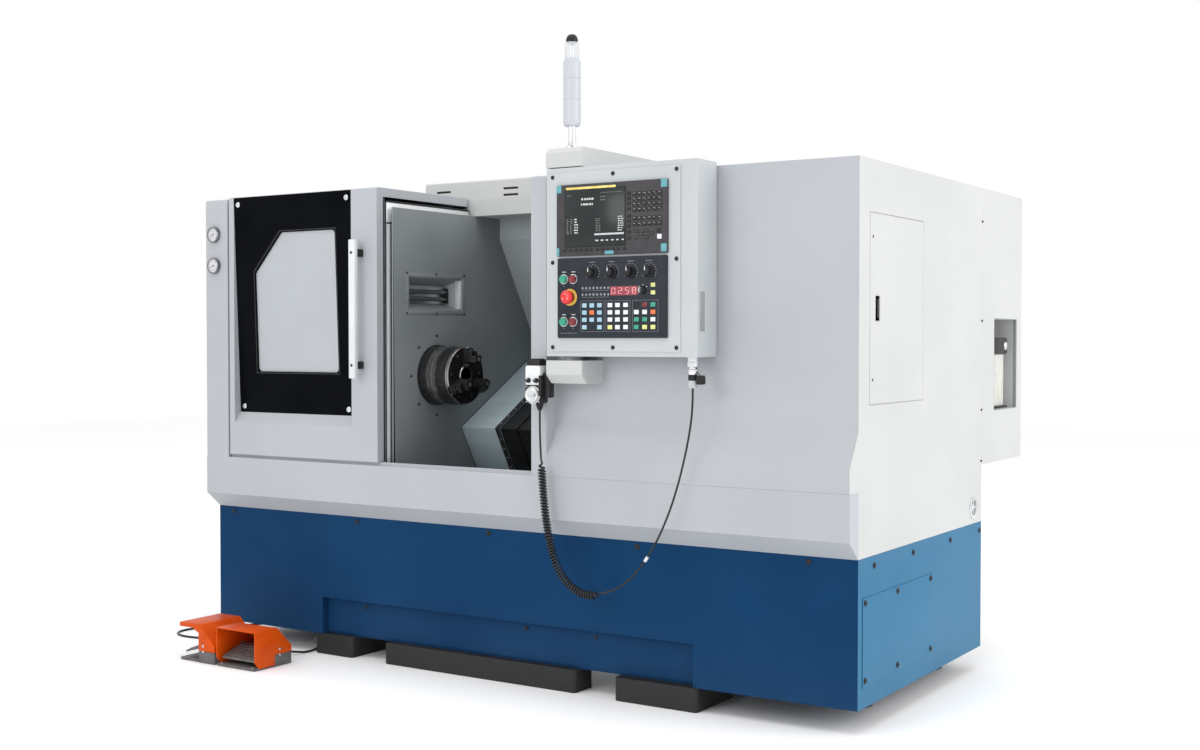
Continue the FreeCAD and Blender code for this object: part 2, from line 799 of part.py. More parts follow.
def emergency_stop():
    face = unit_face - 8 - stop_stroke - moving_gap
    stem = rod(V(stop_x, face, stop_z), V(stop_x, unit_face - stop_stroke - moving_gap, stop_z), 12)
    head = rod(V(stop_x, face - 16, stop_z), V(stop_x, face, stop_z), stop_radius)
    rims = [e for e in head.Edges if abs(e.CenterOfMass.y - face + 16) < 0.1]
    return fuse(head.makeFillet(6, rims), stem)


def key_switch():
    barrel = rod(V(key_x, unit_face - 8, key_z), V(key_x, unit_face - moving_gap, key_z), 10)
    bow = box(key_x - 2, key_x + 2, unit_face - 26, unit_face - 8, key_z - 9, key_z + 9)
    return fuse(barrel, bow)


# Signal tower and gauges


def signal_tower():
    def stage(z0, z1, radius):
        return rod(V(tower_x, tower_y, z0), V(tower_x, tower_y, z1), radius)

    return group(
        fuse(stage(arm_top, arm_top + 6, 24), stage(arm_top + 6, 1738, 12.5)),
        stage(1738, 1940, 28),
        stage(1940, 1995, 23),
        stage(1995, 2020, 15),
    )


def pressure_gauges():
    gauges = []
    for z in (1456, 1340):
        body = rod(V(50, -bulge - 14, z), V(50, -bulge, z), 30)
        rims = [e for e in body.Edges if abs(e.CenterOfMass.y + bulge + 14) < 0.1]
        gauges.append(body.makeFillet(3, rims))
    return group(*gauges)


# Handwheel box


def pendant_body():
    x, y = pendant_x, pendant_y
    shell = box(x - 29, x + 29, y - 22, y + 22, pendant_bottom + 22, pendant_top - 22)
    cap = box(x - 27, x + 27, y - 20, y + 20, pendant_top - 22, pendant_top)
    cap = soften(cap, 12, "y", lambda p: p.z > pendant_top - 5)
    relief = Part.makeCone(6, 14, 22, V(x + 12, y, pendant_bottom), V(0, 0, 1))
    holder = box(x + 29, panel_left, y - 8, y + 20, pendant_bottom + 40, pendant_top - 45)
    return group(fuse(soften(shell, 6, "z"), cap, relief), holder)


def pulse_wheel():
    y = pendant_y - 22
    rim = rod(V(pendant_x, y - 12, wheel_z), V(pendant_x, y - moving_gap, wheel_z), wheel_radius)
    edges = [e for e in rim.Edges if abs(e.CenterOfMass.y - y + 12) < 0.1]
    grip_x = pendant_x + wheel_radius - 10
    grip = rod(V(grip_x, y - 24, wheel_z), V(grip_x, y - 12, wheel_z), 5)
    return fuse(rim.makeFillet(3, edges), grip)


def selector_knob(x):
    y = pendant_y - 22
    body = rod(V(x, y - 12, selector_z), V(x, y - moving_gap, selector_z), selector_radius)
    pointer = box(x - 1, x + 1, y - 14, y - 12, selector_z + 1, selector_z + selector_radius - 1)
    return fuse(body, pointer)


# Foot switches


def hood(open_sides):
    """The orange hood in its own frame: mouth towards -y, left front floor corner at the origin."""
    if open_sides:
        cheek = [(0, hood_height - lip_height), (rear_start - 30, hood_height - lip_height),
                 (rear_start, hood_height - 2 * lip_height), (rear_start, rear_block)]
    else:
        cheek = [(0, 30), (20, 6), (rear_start, 6), (rear_start, rear_block)]
    outline = cheek + [(switch_depth, rear_block), (switch_depth, 64), (switch_depth - 70, hood_height),
                       (0, hood_height)]
    t = hood_wall
    inside = [(-1, -1), (-1, hood_height - t), (switch_depth - 70 - t / 2, hood_height - t),
              (switch_depth - t, 64 - t / 2), (switch_depth - t, -1)]
    return prism("x", outline, 0, switch_width).cut(prism("x", inside, t, switch_width - t))


def switch_base(side_exit):
    plate = box(hood_wall, switch_width - hood_wall, 0, rear_start, 0, base_plate)
    block = box(0, switch_width, rear_start, switch_depth, 0, rear_block)
    if side_exit:
        y = switch_depth - 25
        gland = rod(V(-gland_length, y, gland_height), V(0, y, gland_height), 8)
    else:
        x = switch_width / 2
        gland = rod(V(x, switch_depth, gland_height), V(x, switch_depth + gland_length, gland_height), 8)
    return fuse(plate, block, gland)


def pedal():
    y, z = pedal_pivot
    tread = prism("x", [(14, 26), (18, 34), (y - 6, z + 5), (y, z - 4), (y - 8, z - 9)], 14, switch_width - 14)
    gap = hood_wall + moving_gap
    return fuse(tread, rod(V(gap, y, z), V(switch_width - gap, y, z), 6))


def place_left(shape):
    """The left switch is turned so that its mouth faces the left end of the machine."""
    shape.rotate(V(0, 0, 0), V(0, 0, 1), -90)
    shape.translate(V(switch_left, switch_front + switch_width, -foot_height))
    return shape


def place_right(shape):
    shape.translate(V(switch_left + switch_depth + switch_gap, switch_front, -foot_height))
    return shape


def foot_switch_hoods():
    return group(place_left(hood(True)), place_left(switch_base(True)), place_right(hood(False)),
                 place_right(switch_base(False)))


# Fasteners


def head(place, outward, radius):
    """A button head standing on a face."""
    return rod(place, place + outward * screw_head, radius)


def cover_screws():
    front = V(0, -1, 0)
    right = V(1, 0, 0)
    left = V(-1, 0, 0)
    heads = [head(V(x, 0, base_height - 17), front, 9) for x in base_screw_x]
    toe = toe_recess - 4
    heads += [head(V(x, toe, toe_height - 23), front, 7) for x in toe_screw_x]
    for side, x in ((right, length), (left, 0)):
        heads += [head(V(x, y, base_height - 30), side, 9) for y in end_screw_y]
        plate = x + side.x * end_plate_proud
        y0, y1, z0, z1 = end_plate
        for y in (y0 + 18, (y0 + y1) / 2 - 15, y1 - 18):
            heads += [head(V(plate, y, z), side, 9) for z in (z1 - 15, z0 + 20)]
    heads += [head(V(length, base_depth - 8, z), right, 4) for z in seam_screw_z]
    for i in range(wall_bolts):
        angle = math.radians(i * 360 / wall_bolts)
        place = V(wall_face, axis_y + wall_bolt_ring * math.cos(angle), axis_z + wall_bolt_ring * math.sin(angle))
        heads.append(head(place, right, 5))
    y0, y1, z0, z1 = lamp
    for y in (y0 - 12, (y0 + y1) / 2, y1 + 12):
        for z in (z0 - 12, z1 + 12):
            heads.append(head(V(wall_face, y, z), right, 4))
    return group(*heads)


# Door


def tilted(drop, thick, outline_low, outline_high):
    """A slab parallel to the plate's face between two heights."""
    slope = plate_sunk / (plate_top - plate_bottom)

    def at(z, d):
        return -bulge + plate_sunk - (z - plate_bottom) * slope + d

    points = [(at(outline_low, drop), outline_low), (at(outline_high, drop), outline_high)]
    points += [(at(outline_high, drop + thick), outline_high), (at(outline_low, drop + thick), outline_low)]
    return points


def window_block(grow):
    centre_x = sum(x for x, z in window) / len(window)
    centre_z = sum(z for x, z in window) / len(window)
    points = []
    for x, z in window:
        points.append((x + math.copysign(grow, x - centre_x), z + math.copysign(grow, z - centre_z)))
    block = prism("y", points, -bulge - 5, 0)
    return soften(block, window_corner, "y")


def door_frame():
    t = cover_sheet
    roof_low = door_top - door_roof_thick
    left = box(door_left, plate_left, -bulge, -door_back, door_bottom, roof_low)
    right = box(plate_right, door_right, -bulge, -door_back, door_bottom, roof_low)
    right = right.cut(box(plate_right + t, door_right - t, -bulge + t, -door_back, door_bottom + t, roof_low))
    foot = prism(
        "x",
        [(-bulge, door_bottom), (-bulge, slope_start), (-bulge + plate_sunk, plate_bottom),
         (-door_back, plate_bottom), (-door_back, door_bottom)],
        plate_left, plate_right,
    )
    foot = foot.cut(box(plate_left, plate_right, -bulge + t, -door_back, door_bottom + t, slope_start - 6))
    roof = box(door_left, door_right, -bulge, door_roof_back, roof_low, door_top)
    roof = soften(roof, 8, "x", lambda p: p.z > door_top - 2 and p.y < 0)
    hollow = box(door_left + t, door_right - t, -bulge + 12, door_roof_back - t, roof_low, door_top - t)
    roof = roof.cut(hollow)
    sunk = prism("x", tilted(-20, 20 + plate_thick, roof_low - 1, plate_top), plate_left, plate_right)
    return fuse(left, right, foot, roof.cut(sunk))


def door_plate():
    plate = prism("x", tilted(0, plate_thick, plate_bottom, plate_top), plate_left, plate_right)
    return plate.cut(window_block(0))


def door_glass():
    slab = prism("x", tilted(plate_thick, glass_thick, plate_bottom + 20, plate_top - 30),
                 plate_left + 20, plate_right - 20)
    return slab.common(window_block(window_lip))


def door_handle():
    half = handle_width / 2
    front = -bulge - handle_proud
    bar = box(handle_x - half, handle_x + half, front, front + handle_thick, handle_bottom, handle_top)
    bar = soften(bar, 5, "z")
    posts = [
        rod(V(handle_x, front + handle_thick, z), V(handle_x, -bulge, z), 10)
        for z in (handle_bottom + standoff_inset, handle_top - standoff_inset)
    ]
    return group(bar, *posts)


# Cords


def cord(points, diameter, name):
    """A tube of straight runs and tangent arcs through hand-chosen points."""
    points = [V(*p) for p in points]
    edges = []
    start = points[0]
    radii = []
    for before, here, after in zip(points, points[1:], points[2:]):
        back = (before - here).normalize()
        ahead = (after - here).normalize()
        reach = 0.45 * min((before - here).Length, (after - here).Length)
        half = (math.pi - back.getAngle(ahead)) / 2
        radii.append(reach / math.tan(half))
        enter = here + back * reach
        leave = here + ahead * reach
        middle = here + (back + ahead).normalize() * (radii[-1] / math.cos(half) - radii[-1])
        edges.append(Part.LineSegment(start, enter).toShape())
        edges.append(Part.Arc(enter, middle, leave).toShape())
        start = leave
    edges.append(Part.LineSegment(start, points[-1]).toShape())
    path = Part.Wire(edges)
    circle = Part.Circle(points[0], points[1] - points[0], diameter / 2)
    tube = path.makePipeShell([Part.Wire(circle.toShape())], True, False)
    share = tube.Volume / (math.pi * diameter ** 2 / 4 * path.Length)
    print(f"{name}: {path.Length:.0f} mm, least radius {min(radii):.0f}, volume share {share:.4f}")
    return tube


pendant_route = [
    (2115, -100, 921), (2115, -100, 868), (2109, -104, 800), (2094, -107, 722), (2073, -109, 640),
    (2046, -110, 560), (2013, -111, 485), (1976, -111, 420), (1932, -111, 362), (1884, -110, 318),
    (1840, -110, 293), (1799, -110, 281),
]
curl_route = [
    (1799, -110, 281), (1758, -110, 269), (1712, -110, 276), (1672, -110, 302), (1638, -110, 340),
    (1614, -109, 392), (1598, -108, 450), (1585, -106, 512), (1576, -104, 578), (1569, -102, 650),
    (1563, -101, 722), (1560, -100, 786), (1560, -100, 841),
]
foot_level = foot_cord / 2 - foot_height
gland_level = gland_height - foot_height
left_cord_start = switch_front + switch_width + gland_length
right_cord_start = switch_front + switch_depth + gland_length
right_cord_x = switch_left + switch_depth + switch_gap + switch_width / 2
left_cord_route = [
    (switch_left + switch_depth - 25, left_cord_start, gland_level),
    (switch_left + switch_depth - 25, left_cord_start + 40, gland_level), (292, -60, foot_level + 8),
    (254, -30, foot_level), (196, -14, foot_level), (124, -12, foot_level), (52, -22, foot_level),
    (-20, -42, foot_level), (-90, -62, foot_level), (-155, -62, foot_level), (-205, -36, foot_level),
    (-226, 12, foot_level), (-214, 70, foot_level), (-178, 122, foot_level), (-128, 176, foot_level),
    (-82, 240, foot_level), (-52, 312, foot_level), (-38, 392, foot_level), (-14, 466, foot_level),
    (34, 524, foot_level), (96, 562, foot_level), (141, 585, foot_level), (159, 594, -59),
    (170, 600, -38), (170, 600, -gland_length),
]
right_cord_route = [
    (right_cord_x, right_cord_start, gland_level), (right_cord_x, right_cord_start + 42, gland_level),
    (449, -68, foot_level + 8), (463, -28, foot_level), (464, 18, foot_level), (446, 62, foot_level),
    (410, 102, foot_level), (366, 138, foot_level), (322, 178, foot_level), (286, 224, foot_level),
    (264, 278, foot_level), (252, 334, foot_level), (244, 384, foot_level), (234, 414, foot_level),
    (220, 440, foot_level), (211, 459, -59), (206, 470, -38), (206, 470, -gland_length),
]

PARTS = {
    "base_frame": base_frame,
    "bed_feet": bed_feet,
    "machine_bed": machine_bed,
    "headstock": headstock,
    "spindle": spindle,
    "chuck_body": chuck_body,
    "jaw_1": lambda: jaw(0),
    "jaw_2": lambda: jaw(120),
    "jaw_3": lambda: jaw(240),
    "splash_guard": splash_guard,
    "work_light": work_light,
    "way_cover": way_cover,
    "way_cover_mid_1": lambda: moving_segment(segment_1_left, 5),
    "way_cover_mid_2": lambda: moving_segment(segment_2_left, 10),
    "saddle": saddle,
    "turret_slide": turret_slide,
    "turret_disc": turret_disc,
    "tailstock": tailstock,
    "quill": quill,
    "front_skirt": front_skirt,
    "headstock_cover": headstock_cover,
    "right_front_cover": right_front_cover,
    "right_end_cover": right_end_cover,
    "access_door": access_door,
    "roof_rear_cover": roof_rear_cover,
    "electrical_cabinet": electrical_cabinet,
    "cabinet_door": cabinet_door,
    "lubrication_unit": lubrication_unit,
    "door_frame": door_frame,
    "door_plate": door_plate,
    "door_glass": door_glass,
    "door_handle": door_handle,
    "panel_arm": panel_arm,
    "panel_housing": panel_housing,
    "screen_unit": lambda: unit_block(screen_unit),
    "operator_unit": operator_block,
    "emergency_stop": emergency_stop,
    "key_switch": key_switch,
    "signal_tower": signal_tower,
    "pressure_gauges": pressure_gauges,
    "pendant_body": pendant_body,
    "pulse_wheel": pulse_wheel,
    "selector_knob_1": lambda: selector_knob(pendant_x - selector_spread),
    "selector_knob_2": lambda: selector_knob(pendant_x + selector_spread),
    "foot_switch_hoods": foot_switch_hoods,
    "pedal_left": lambda: place_left(pedal()),
    "pedal_right": lambda: place_right(pedal()),
    "cover_screws": cover_screws,
    "pendant_lead": lambda: cord(pendant_route, pendant_cord, "pendant_lead"),
    "pendant_curl": lambda: cord(curl_route, curl_diameter, "pendant_curl"),
    "foot_cord_left": lambda: cord(left_cord_route, foot_cord, "foot_cord_left"),
    "foot_cord_right": lambda: cord(right_cord_route, foot_cord, "foot_cord_right"),
}
for number, (x, z) in enumerate([(x, z) for z in button_z for x in button_x], 1):
    PARTS[f"push_button_{number}"] = lambda x=x, z=z: push_button(x, z)
for number, x in enumerate(knob_places, 1):
    PARTS[f"rotary_knob_{number}"] = lambda x=x: knob(x)

os.makedirs("parts", exist_ok=True)
for name, build in PARTS.items():
    shape = build()
    shape.translate(-origin)
    shape.exportStep(f"parts/{name}.step")
    print(f"{name}: {len(shape.Solids)} solids, valid {shape.isValid()}, {shape.Volume / 1e6:.2f} litres")
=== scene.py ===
import math
import random
import bmesh
import bpy
from mathutils import Matrix, Vector


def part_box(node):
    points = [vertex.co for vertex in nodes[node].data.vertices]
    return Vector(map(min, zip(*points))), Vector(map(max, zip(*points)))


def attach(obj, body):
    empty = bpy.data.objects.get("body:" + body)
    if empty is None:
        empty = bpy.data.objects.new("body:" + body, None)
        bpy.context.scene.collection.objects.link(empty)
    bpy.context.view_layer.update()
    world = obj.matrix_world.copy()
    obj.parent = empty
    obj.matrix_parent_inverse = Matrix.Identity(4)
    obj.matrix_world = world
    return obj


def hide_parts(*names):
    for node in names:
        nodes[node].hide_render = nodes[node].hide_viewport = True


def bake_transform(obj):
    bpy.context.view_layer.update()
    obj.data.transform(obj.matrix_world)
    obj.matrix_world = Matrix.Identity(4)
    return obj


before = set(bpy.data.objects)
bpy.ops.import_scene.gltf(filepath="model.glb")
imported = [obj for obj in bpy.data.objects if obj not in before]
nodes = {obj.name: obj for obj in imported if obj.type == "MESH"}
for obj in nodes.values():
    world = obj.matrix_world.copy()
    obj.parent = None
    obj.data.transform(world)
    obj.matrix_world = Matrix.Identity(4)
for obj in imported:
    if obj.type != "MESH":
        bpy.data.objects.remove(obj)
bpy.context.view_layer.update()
scene = bpy.context.scene
random.seed(11)

# the lathe's own measure: x from the left end, y from the front of the base, z from under the base, in mm
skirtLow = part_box("front_skirt")[0]
leftEnd = skirtLow.x
baseFront = skirtLow.y + 0.063
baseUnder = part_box("bed_feet")[1].z


def at(x, y, z):
    return Vector((leftEnd + x / 1000, baseFront + y / 1000, baseUnder + z / 1000))


slant = dict(y=365.0, z=742.0, rise=math.radians(30))    # where the slant bed's cover folds
spindleY, spindleZ = 221.617, 936.346
toFront, toRight, toTop = (0, -1, 0), (1, 0, 0), (0, 0, 1)


def onSlant(s, n):
    c, i = math.cos(slant["rise"]), math.sin(slant["rise"])
    return slant["y"] + s * c - n * i, slant["z"] + s * i + n * c


# Finishes. Two tones drift into each other, the gloss drifts too, and a fine grain lifts the surface.
# A finish gives only what differs from the usual.
usual = dict(gloss=(0.4, 0.5), patch=90, grain=(2400, 0.00006), stretch=(1, 1, 1), metal=0, shine=0.5,
             coat=0, alpha=1)
finishes = {
    "coverPaint": dict(tones=((0.385, 0.405, 0.435), (0.42, 0.44, 0.465)),
        gloss=(0.38, 0.5), patch=2.2, grain=(900, 0.00012), shine=0.3),
    "panelPaint": dict(tones=((0.45, 0.475, 0.495), (0.485, 0.51, 0.525)),
        gloss=(0.38, 0.5), patch=4, grain=(900, 0.00012), shine=0.3),
    # a brighter copy of coverPaint, painted light: the right end, panel arm, vent front and cabinet read
    # lighter than the front covers
    "sidePaint": dict(tones=((0.475, 0.487, 0.485), (0.52, 0.53, 0.525)),
        gloss=(0.38, 0.5), patch=2.6, grain=(900, 0.00012), shine=0.3),
    "bluePaint": dict(tones=((0.003, 0.034, 0.1), (0.005, 0.043, 0.12)),
        gloss=(0.42, 0.56), patch=3.0, grain=(700, 0.00015), shine=0.06, dust=0.03),
    # a lighter copy of bluePaint, painted light: it makes the base's right end read brighter than its front,
    # as where the key lamp falls
    "blueEndPaint": dict(tones=((0.024, 0.13, 0.245), (0.034, 0.158, 0.285)),
        gloss=(0.38, 0.5), patch=2.4, grain=(700, 0.00015), shine=0.12, dust=0.03),
    "footPaint": dict(tones=((0.006, 0.006, 0.007), (0.014, 0.014, 0.015)),
        gloss=(0.55, 0.75), patch=18, grain=(300, 0.0004)),
    "castIron": dict(tones=((0.12, 0.125, 0.13), (0.22, 0.225, 0.23)),
        gloss=(0.4, 0.6), patch=30, grain=(500, 0.0003), metal=0.6),
    "groundSteel": dict(tones=((0.42, 0.43, 0.44), (0.58, 0.59, 0.6)),
        gloss=(0.2, 0.36), patch=60, stretch=(1, 14, 14), grain=(900, 0.00006), metal=1.0),
    "turnedSteel": dict(tones=((0.2, 0.19, 0.18), (0.38, 0.36, 0.34)),
        gloss=(0.2, 0.34), patch=140, stretch=(3.5, 0.25, 0.25), grain=(1200, 0.00005), metal=1.0),
    "blackedSteel": dict(tones=((0.018, 0.018, 0.019), (0.045, 0.045, 0.048)),
        gloss=(0.3, 0.5), patch=80, grain=(900, 0.0001), metal=0.7),
    "wallPaint": dict(tones=((0.2, 0.222, 0.235), (0.24, 0.262, 0.276)),
        gloss=(0.42, 0.56), patch=3.5, grain=(800, 0.00012), shine=0.3),
    "backPaint": dict(tones=((0.34, 0.375, 0.395), (0.39, 0.425, 0.445)),
        gloss=(0.42, 0.56), patch=3.5, grain=(800, 0.00012), shine=0.3),
    "guardSteel": dict(tones=((0.4, 0.5, 0.54), (0.47, 0.57, 0.61)),
        gloss=(0.32, 0.45), patch=12, stretch=(0.2, 3, 3), grain=(900, 0.00008)),
    "wornCover": dict(tones=((0.012, 0.013, 0.014), (0.03, 0.032, 0.034)),
        gloss=(0.35, 0.5), patch=14, stretch=(0.2, 3, 3), grain=(900, 0.0001), metal=0.4),
    "doorBlack": dict(tones=((0.002, 0.0024, 0.004), (0.0045, 0.005, 0.007)),
        gloss=(0.3, 0.4), patch=5, grain=(600, 0.00008), shine=0.02),
    "clearSheet": dict(tones=((0.53, 0.56, 0.6), (0.58, 0.61, 0.64)),
        gloss=(0.2, 0.3), patch=2.4, grain=(60, 0.00006), alpha=0.62, shine=0.35),
    "lampCover": dict(tones=((0.01, 0.014, 0.015), (0.022, 0.028, 0.03)),
        gloss=(0.05, 0.12), patch=10, grain=(200, 0.00005), alpha=0.72),
    "lampTube": dict(tones=((0.05, 0.055, 0.06), (0.11, 0.12, 0.125)),
        gloss=(0.1, 0.2), patch=12, grain=(200, 0.00005)),
    "handlePaint": dict(tones=((0.62, 0.645, 0.665), (0.67, 0.69, 0.71)),
        gloss=(0.3, 0.4), patch=8, grain=(900, 0.0001), shine=0.4),
    "aluminium": dict(tones=((0.72, 0.74, 0.75), (0.84, 0.85, 0.86)),
        gloss=(0.24, 0.38), patch=50, stretch=(0.12, 6, 6), grain=(1200, 0.00006), metal=0.3),
    "rubber": dict(tones=((0.01, 0.01, 0.011), (0.022, 0.022, 0.023)),
        gloss=(0.55, 0.75), patch=40, grain=(1500, 0.00012)),
    "cordRubber": dict(tones=((0.008, 0.008, 0.01), (0.018, 0.018, 0.022)),
        gloss=(0.26, 0.4), patch=60, grain=(1800, 0.0001), shine=0.4),
    "blackPlastic": dict(tones=((0.008, 0.008, 0.009), (0.016, 0.016, 0.018)),
        gloss=(0.38, 0.5), patch=50, grain=(2200, 0.0001), shine=0.3),
    "screenFrame": dict(tones=((0.04, 0.038, 0.042), (0.054, 0.051, 0.055)),
        gloss=(0.42, 0.54), patch=40, grain=(2400, 0.0001), shine=0.25),
    "keyGround": dict(tones=((0.014, 0.018, 0.026), (0.022, 0.028, 0.037)),
        gloss=(0.4, 0.52), patch=30, grain=(2400, 0.00008), shine=0.2),
    "screenGlass": dict(tones=((0.016, 0.02, 0.02), (0.028, 0.032, 0.032)),
        gloss=(0.16, 0.24), patch=6, grain=(100, 0.00002), shine=0.25),
    "whiteKey": dict(tones=((0.66, 0.69, 0.72), (0.76, 0.78, 0.8))),
    "greyKey": dict(tones=((0.01, 0.01, 0.011), (0.018, 0.018, 0.019)),
        gloss=(0.45, 0.6), patch=120, shine=0.3),
    "blueKey": dict(tones=((0.27, 0.45, 0.56), (0.37, 0.55, 0.65))),
    "tealMark": dict(tones=((0.085, 0.29, 0.35), (0.12, 0.36, 0.42))),
    "greenKey": dict(tones=((0.02, 0.26, 0.16), (0.04, 0.36, 0.23)), gloss=(0.3, 0.4)),
    "yellowKey": dict(tones=((0.6, 0.62, 0.2), (0.7, 0.72, 0.29))),
    "orangeKey": dict(tones=((0.68, 0.13, 0.03), (0.8, 0.2, 0.06))),
    "darkRedKey": dict(tones=((0.14, 0.01, 0.016), (0.22, 0.02, 0.028)), gloss=(0.25, 0.35)),
    "stopRed": dict(tones=((0.6, 0.008, 0.012), (0.74, 0.02, 0.022)),
        gloss=(0.22, 0.32), patch=60, grain=(1800, 0.00006), coat=0.4),
    "paleLine": dict(tones=((0.44, 0.48, 0.5), (0.54, 0.58, 0.6)), grain=(2400, 0.00004)),
    "dimLine": dict(tones=((0.14, 0.15, 0.165), (0.22, 0.235, 0.25)), grain=(2400, 0.00004)),
    "keyLabel": dict(tones=((0.2, 0.2, 0.215), (0.3, 0.3, 0.315)), patch=400, grain=(2400, 0.00004)),
    "yellowRing": dict(tones=((0.74, 0.44, 0.06), (0.84, 0.55, 0.12)),
        gloss=(0.3, 0.4), patch=60, grain=(1200, 0.00004)),
    "chrome": dict(tones=((0.7, 0.71, 0.73), (0.82, 0.83, 0.84)),
        gloss=(0.08, 0.18), patch=40, grain=(1500, 0.00003), metal=1.0),
    "gaugeRim": dict(tones=((0.16, 0.155, 0.17), (0.34, 0.33, 0.35)),
        gloss=(0.15, 0.28), patch=60, grain=(1500, 0.00003), metal=1.0),
    "zinc": dict(tones=((0.44, 0.45, 0.46), (0.62, 0.63, 0.64)),
        gloss=(0.25, 0.42), patch=160, grain=(1500, 0.0001), metal=1.0),
    "dialWhite": dict(tones=((0.5, 0.49, 0.53), (0.58, 0.575, 0.61)),
        gloss=(0.3, 0.4), patch=60, grain=(1500, 0.00003)),
    "gaugeGlass": dict(tones=((0.86, 0.88, 0.9), (0.92, 0.94, 0.95)),
        gloss=(0.03, 0.08), patch=20, grain=(300, 0.00002), alpha=0.16),
    "orangePaint": dict(tones=((0.54, 0.058, 0.001), (0.64, 0.082, 0.002)),
        gloss=(0.34, 0.48), patch=14, grain=(900, 0.00016), shine=0.15),
    "castGrey": dict(tones=((0.075, 0.072, 0.072), (0.125, 0.12, 0.12)),
        gloss=(0.45, 0.6), patch=40, grain=(700, 0.0003)),
    "treadGrey": dict(tones=((0.085, 0.08, 0.08), (0.15, 0.142, 0.14)),
        gloss=(0.4, 0.55), patch=60, grain=(900, 0.0002), metal=0.3),
    "towerWhite": dict(tones=((0.46, 0.48, 0.515), (0.51, 0.53, 0.565)),
        gloss=(0.24, 0.36), patch=20, stretch=(1, 1, 0.2), grain=(400, 0.00008), shine=0.4),
    "towerClear": dict(tones=((0.62, 0.66, 0.69), (0.78, 0.81, 0.83)),
        gloss=(0.06, 0.14), patch=60, stretch=(1, 1, 0.1), grain=(300, 0.0001), alpha=0.55),
    "pendantWhite": dict(tones=((0.66, 0.68, 0.69), (0.72, 0.735, 0.745)),
        gloss=(0.35, 0.5), patch=60, grain=(1800, 0.0001)),
    "satinSilver": dict(tones=((0.58, 0.59, 0.6), (0.74, 0.75, 0.76)),
        gloss=(0.25, 0.38), patch=120, grain=(1500, 0.00006), metal=0.9),
    "milkBottle": dict(tones=((0.66, 0.68, 0.62), (0.76, 0.77, 0.72)),
        gloss=(0.25, 0.4), patch=24, grain=(300, 0.0001), alpha=0.78),
    "oil": dict(tones=((0.3, 0.12, 0.02), (0.42, 0.2, 0.05)),
        gloss=(0.1, 0.2), patch=20, grain=(100, 0.00005)),
    "pocketGrey": dict(tones=((0.26, 0.28, 0.285), (0.32, 0.34, 0.345)),
        gloss=(0.45, 0.6), patch=6, grain=(700, 0.0001), shine=0.3),
    "displayWhite": dict(tones=((0.36, 0.39, 0.38), (0.62, 0.66, 0.65)),
        gloss=(0.3, 0.4), patch=400, grain=(900, 0.00002), glow=0.1),
    "displayGrey": dict(tones=((0.09, 0.1, 0.1), (0.2, 0.22, 0.22)),
        gloss=(0.3, 0.4), patch=400, grain=(900, 0.00002)),
    "displayYellow": dict(tones=((0.66, 0.44, 0.1), (0.8, 0.68, 0.22)),
        gloss=(0.3, 0.4), patch=60, grain=(900, 0.00002), glow=0.08),
    "displayPink": dict(tones=((0.78, 0.22, 0.26), (0.92, 0.36, 0.4)),
        gloss=(0.3, 0.4), patch=200, grain=(900, 0.00002), glow=0.2),
    "displayRed": dict(tones=((0.2, 0.03, 0.045), (0.34, 0.06, 0.08)),
        gloss=(0.3, 0.4), patch=200, grain=(900, 0.00002)),
}
made = {}


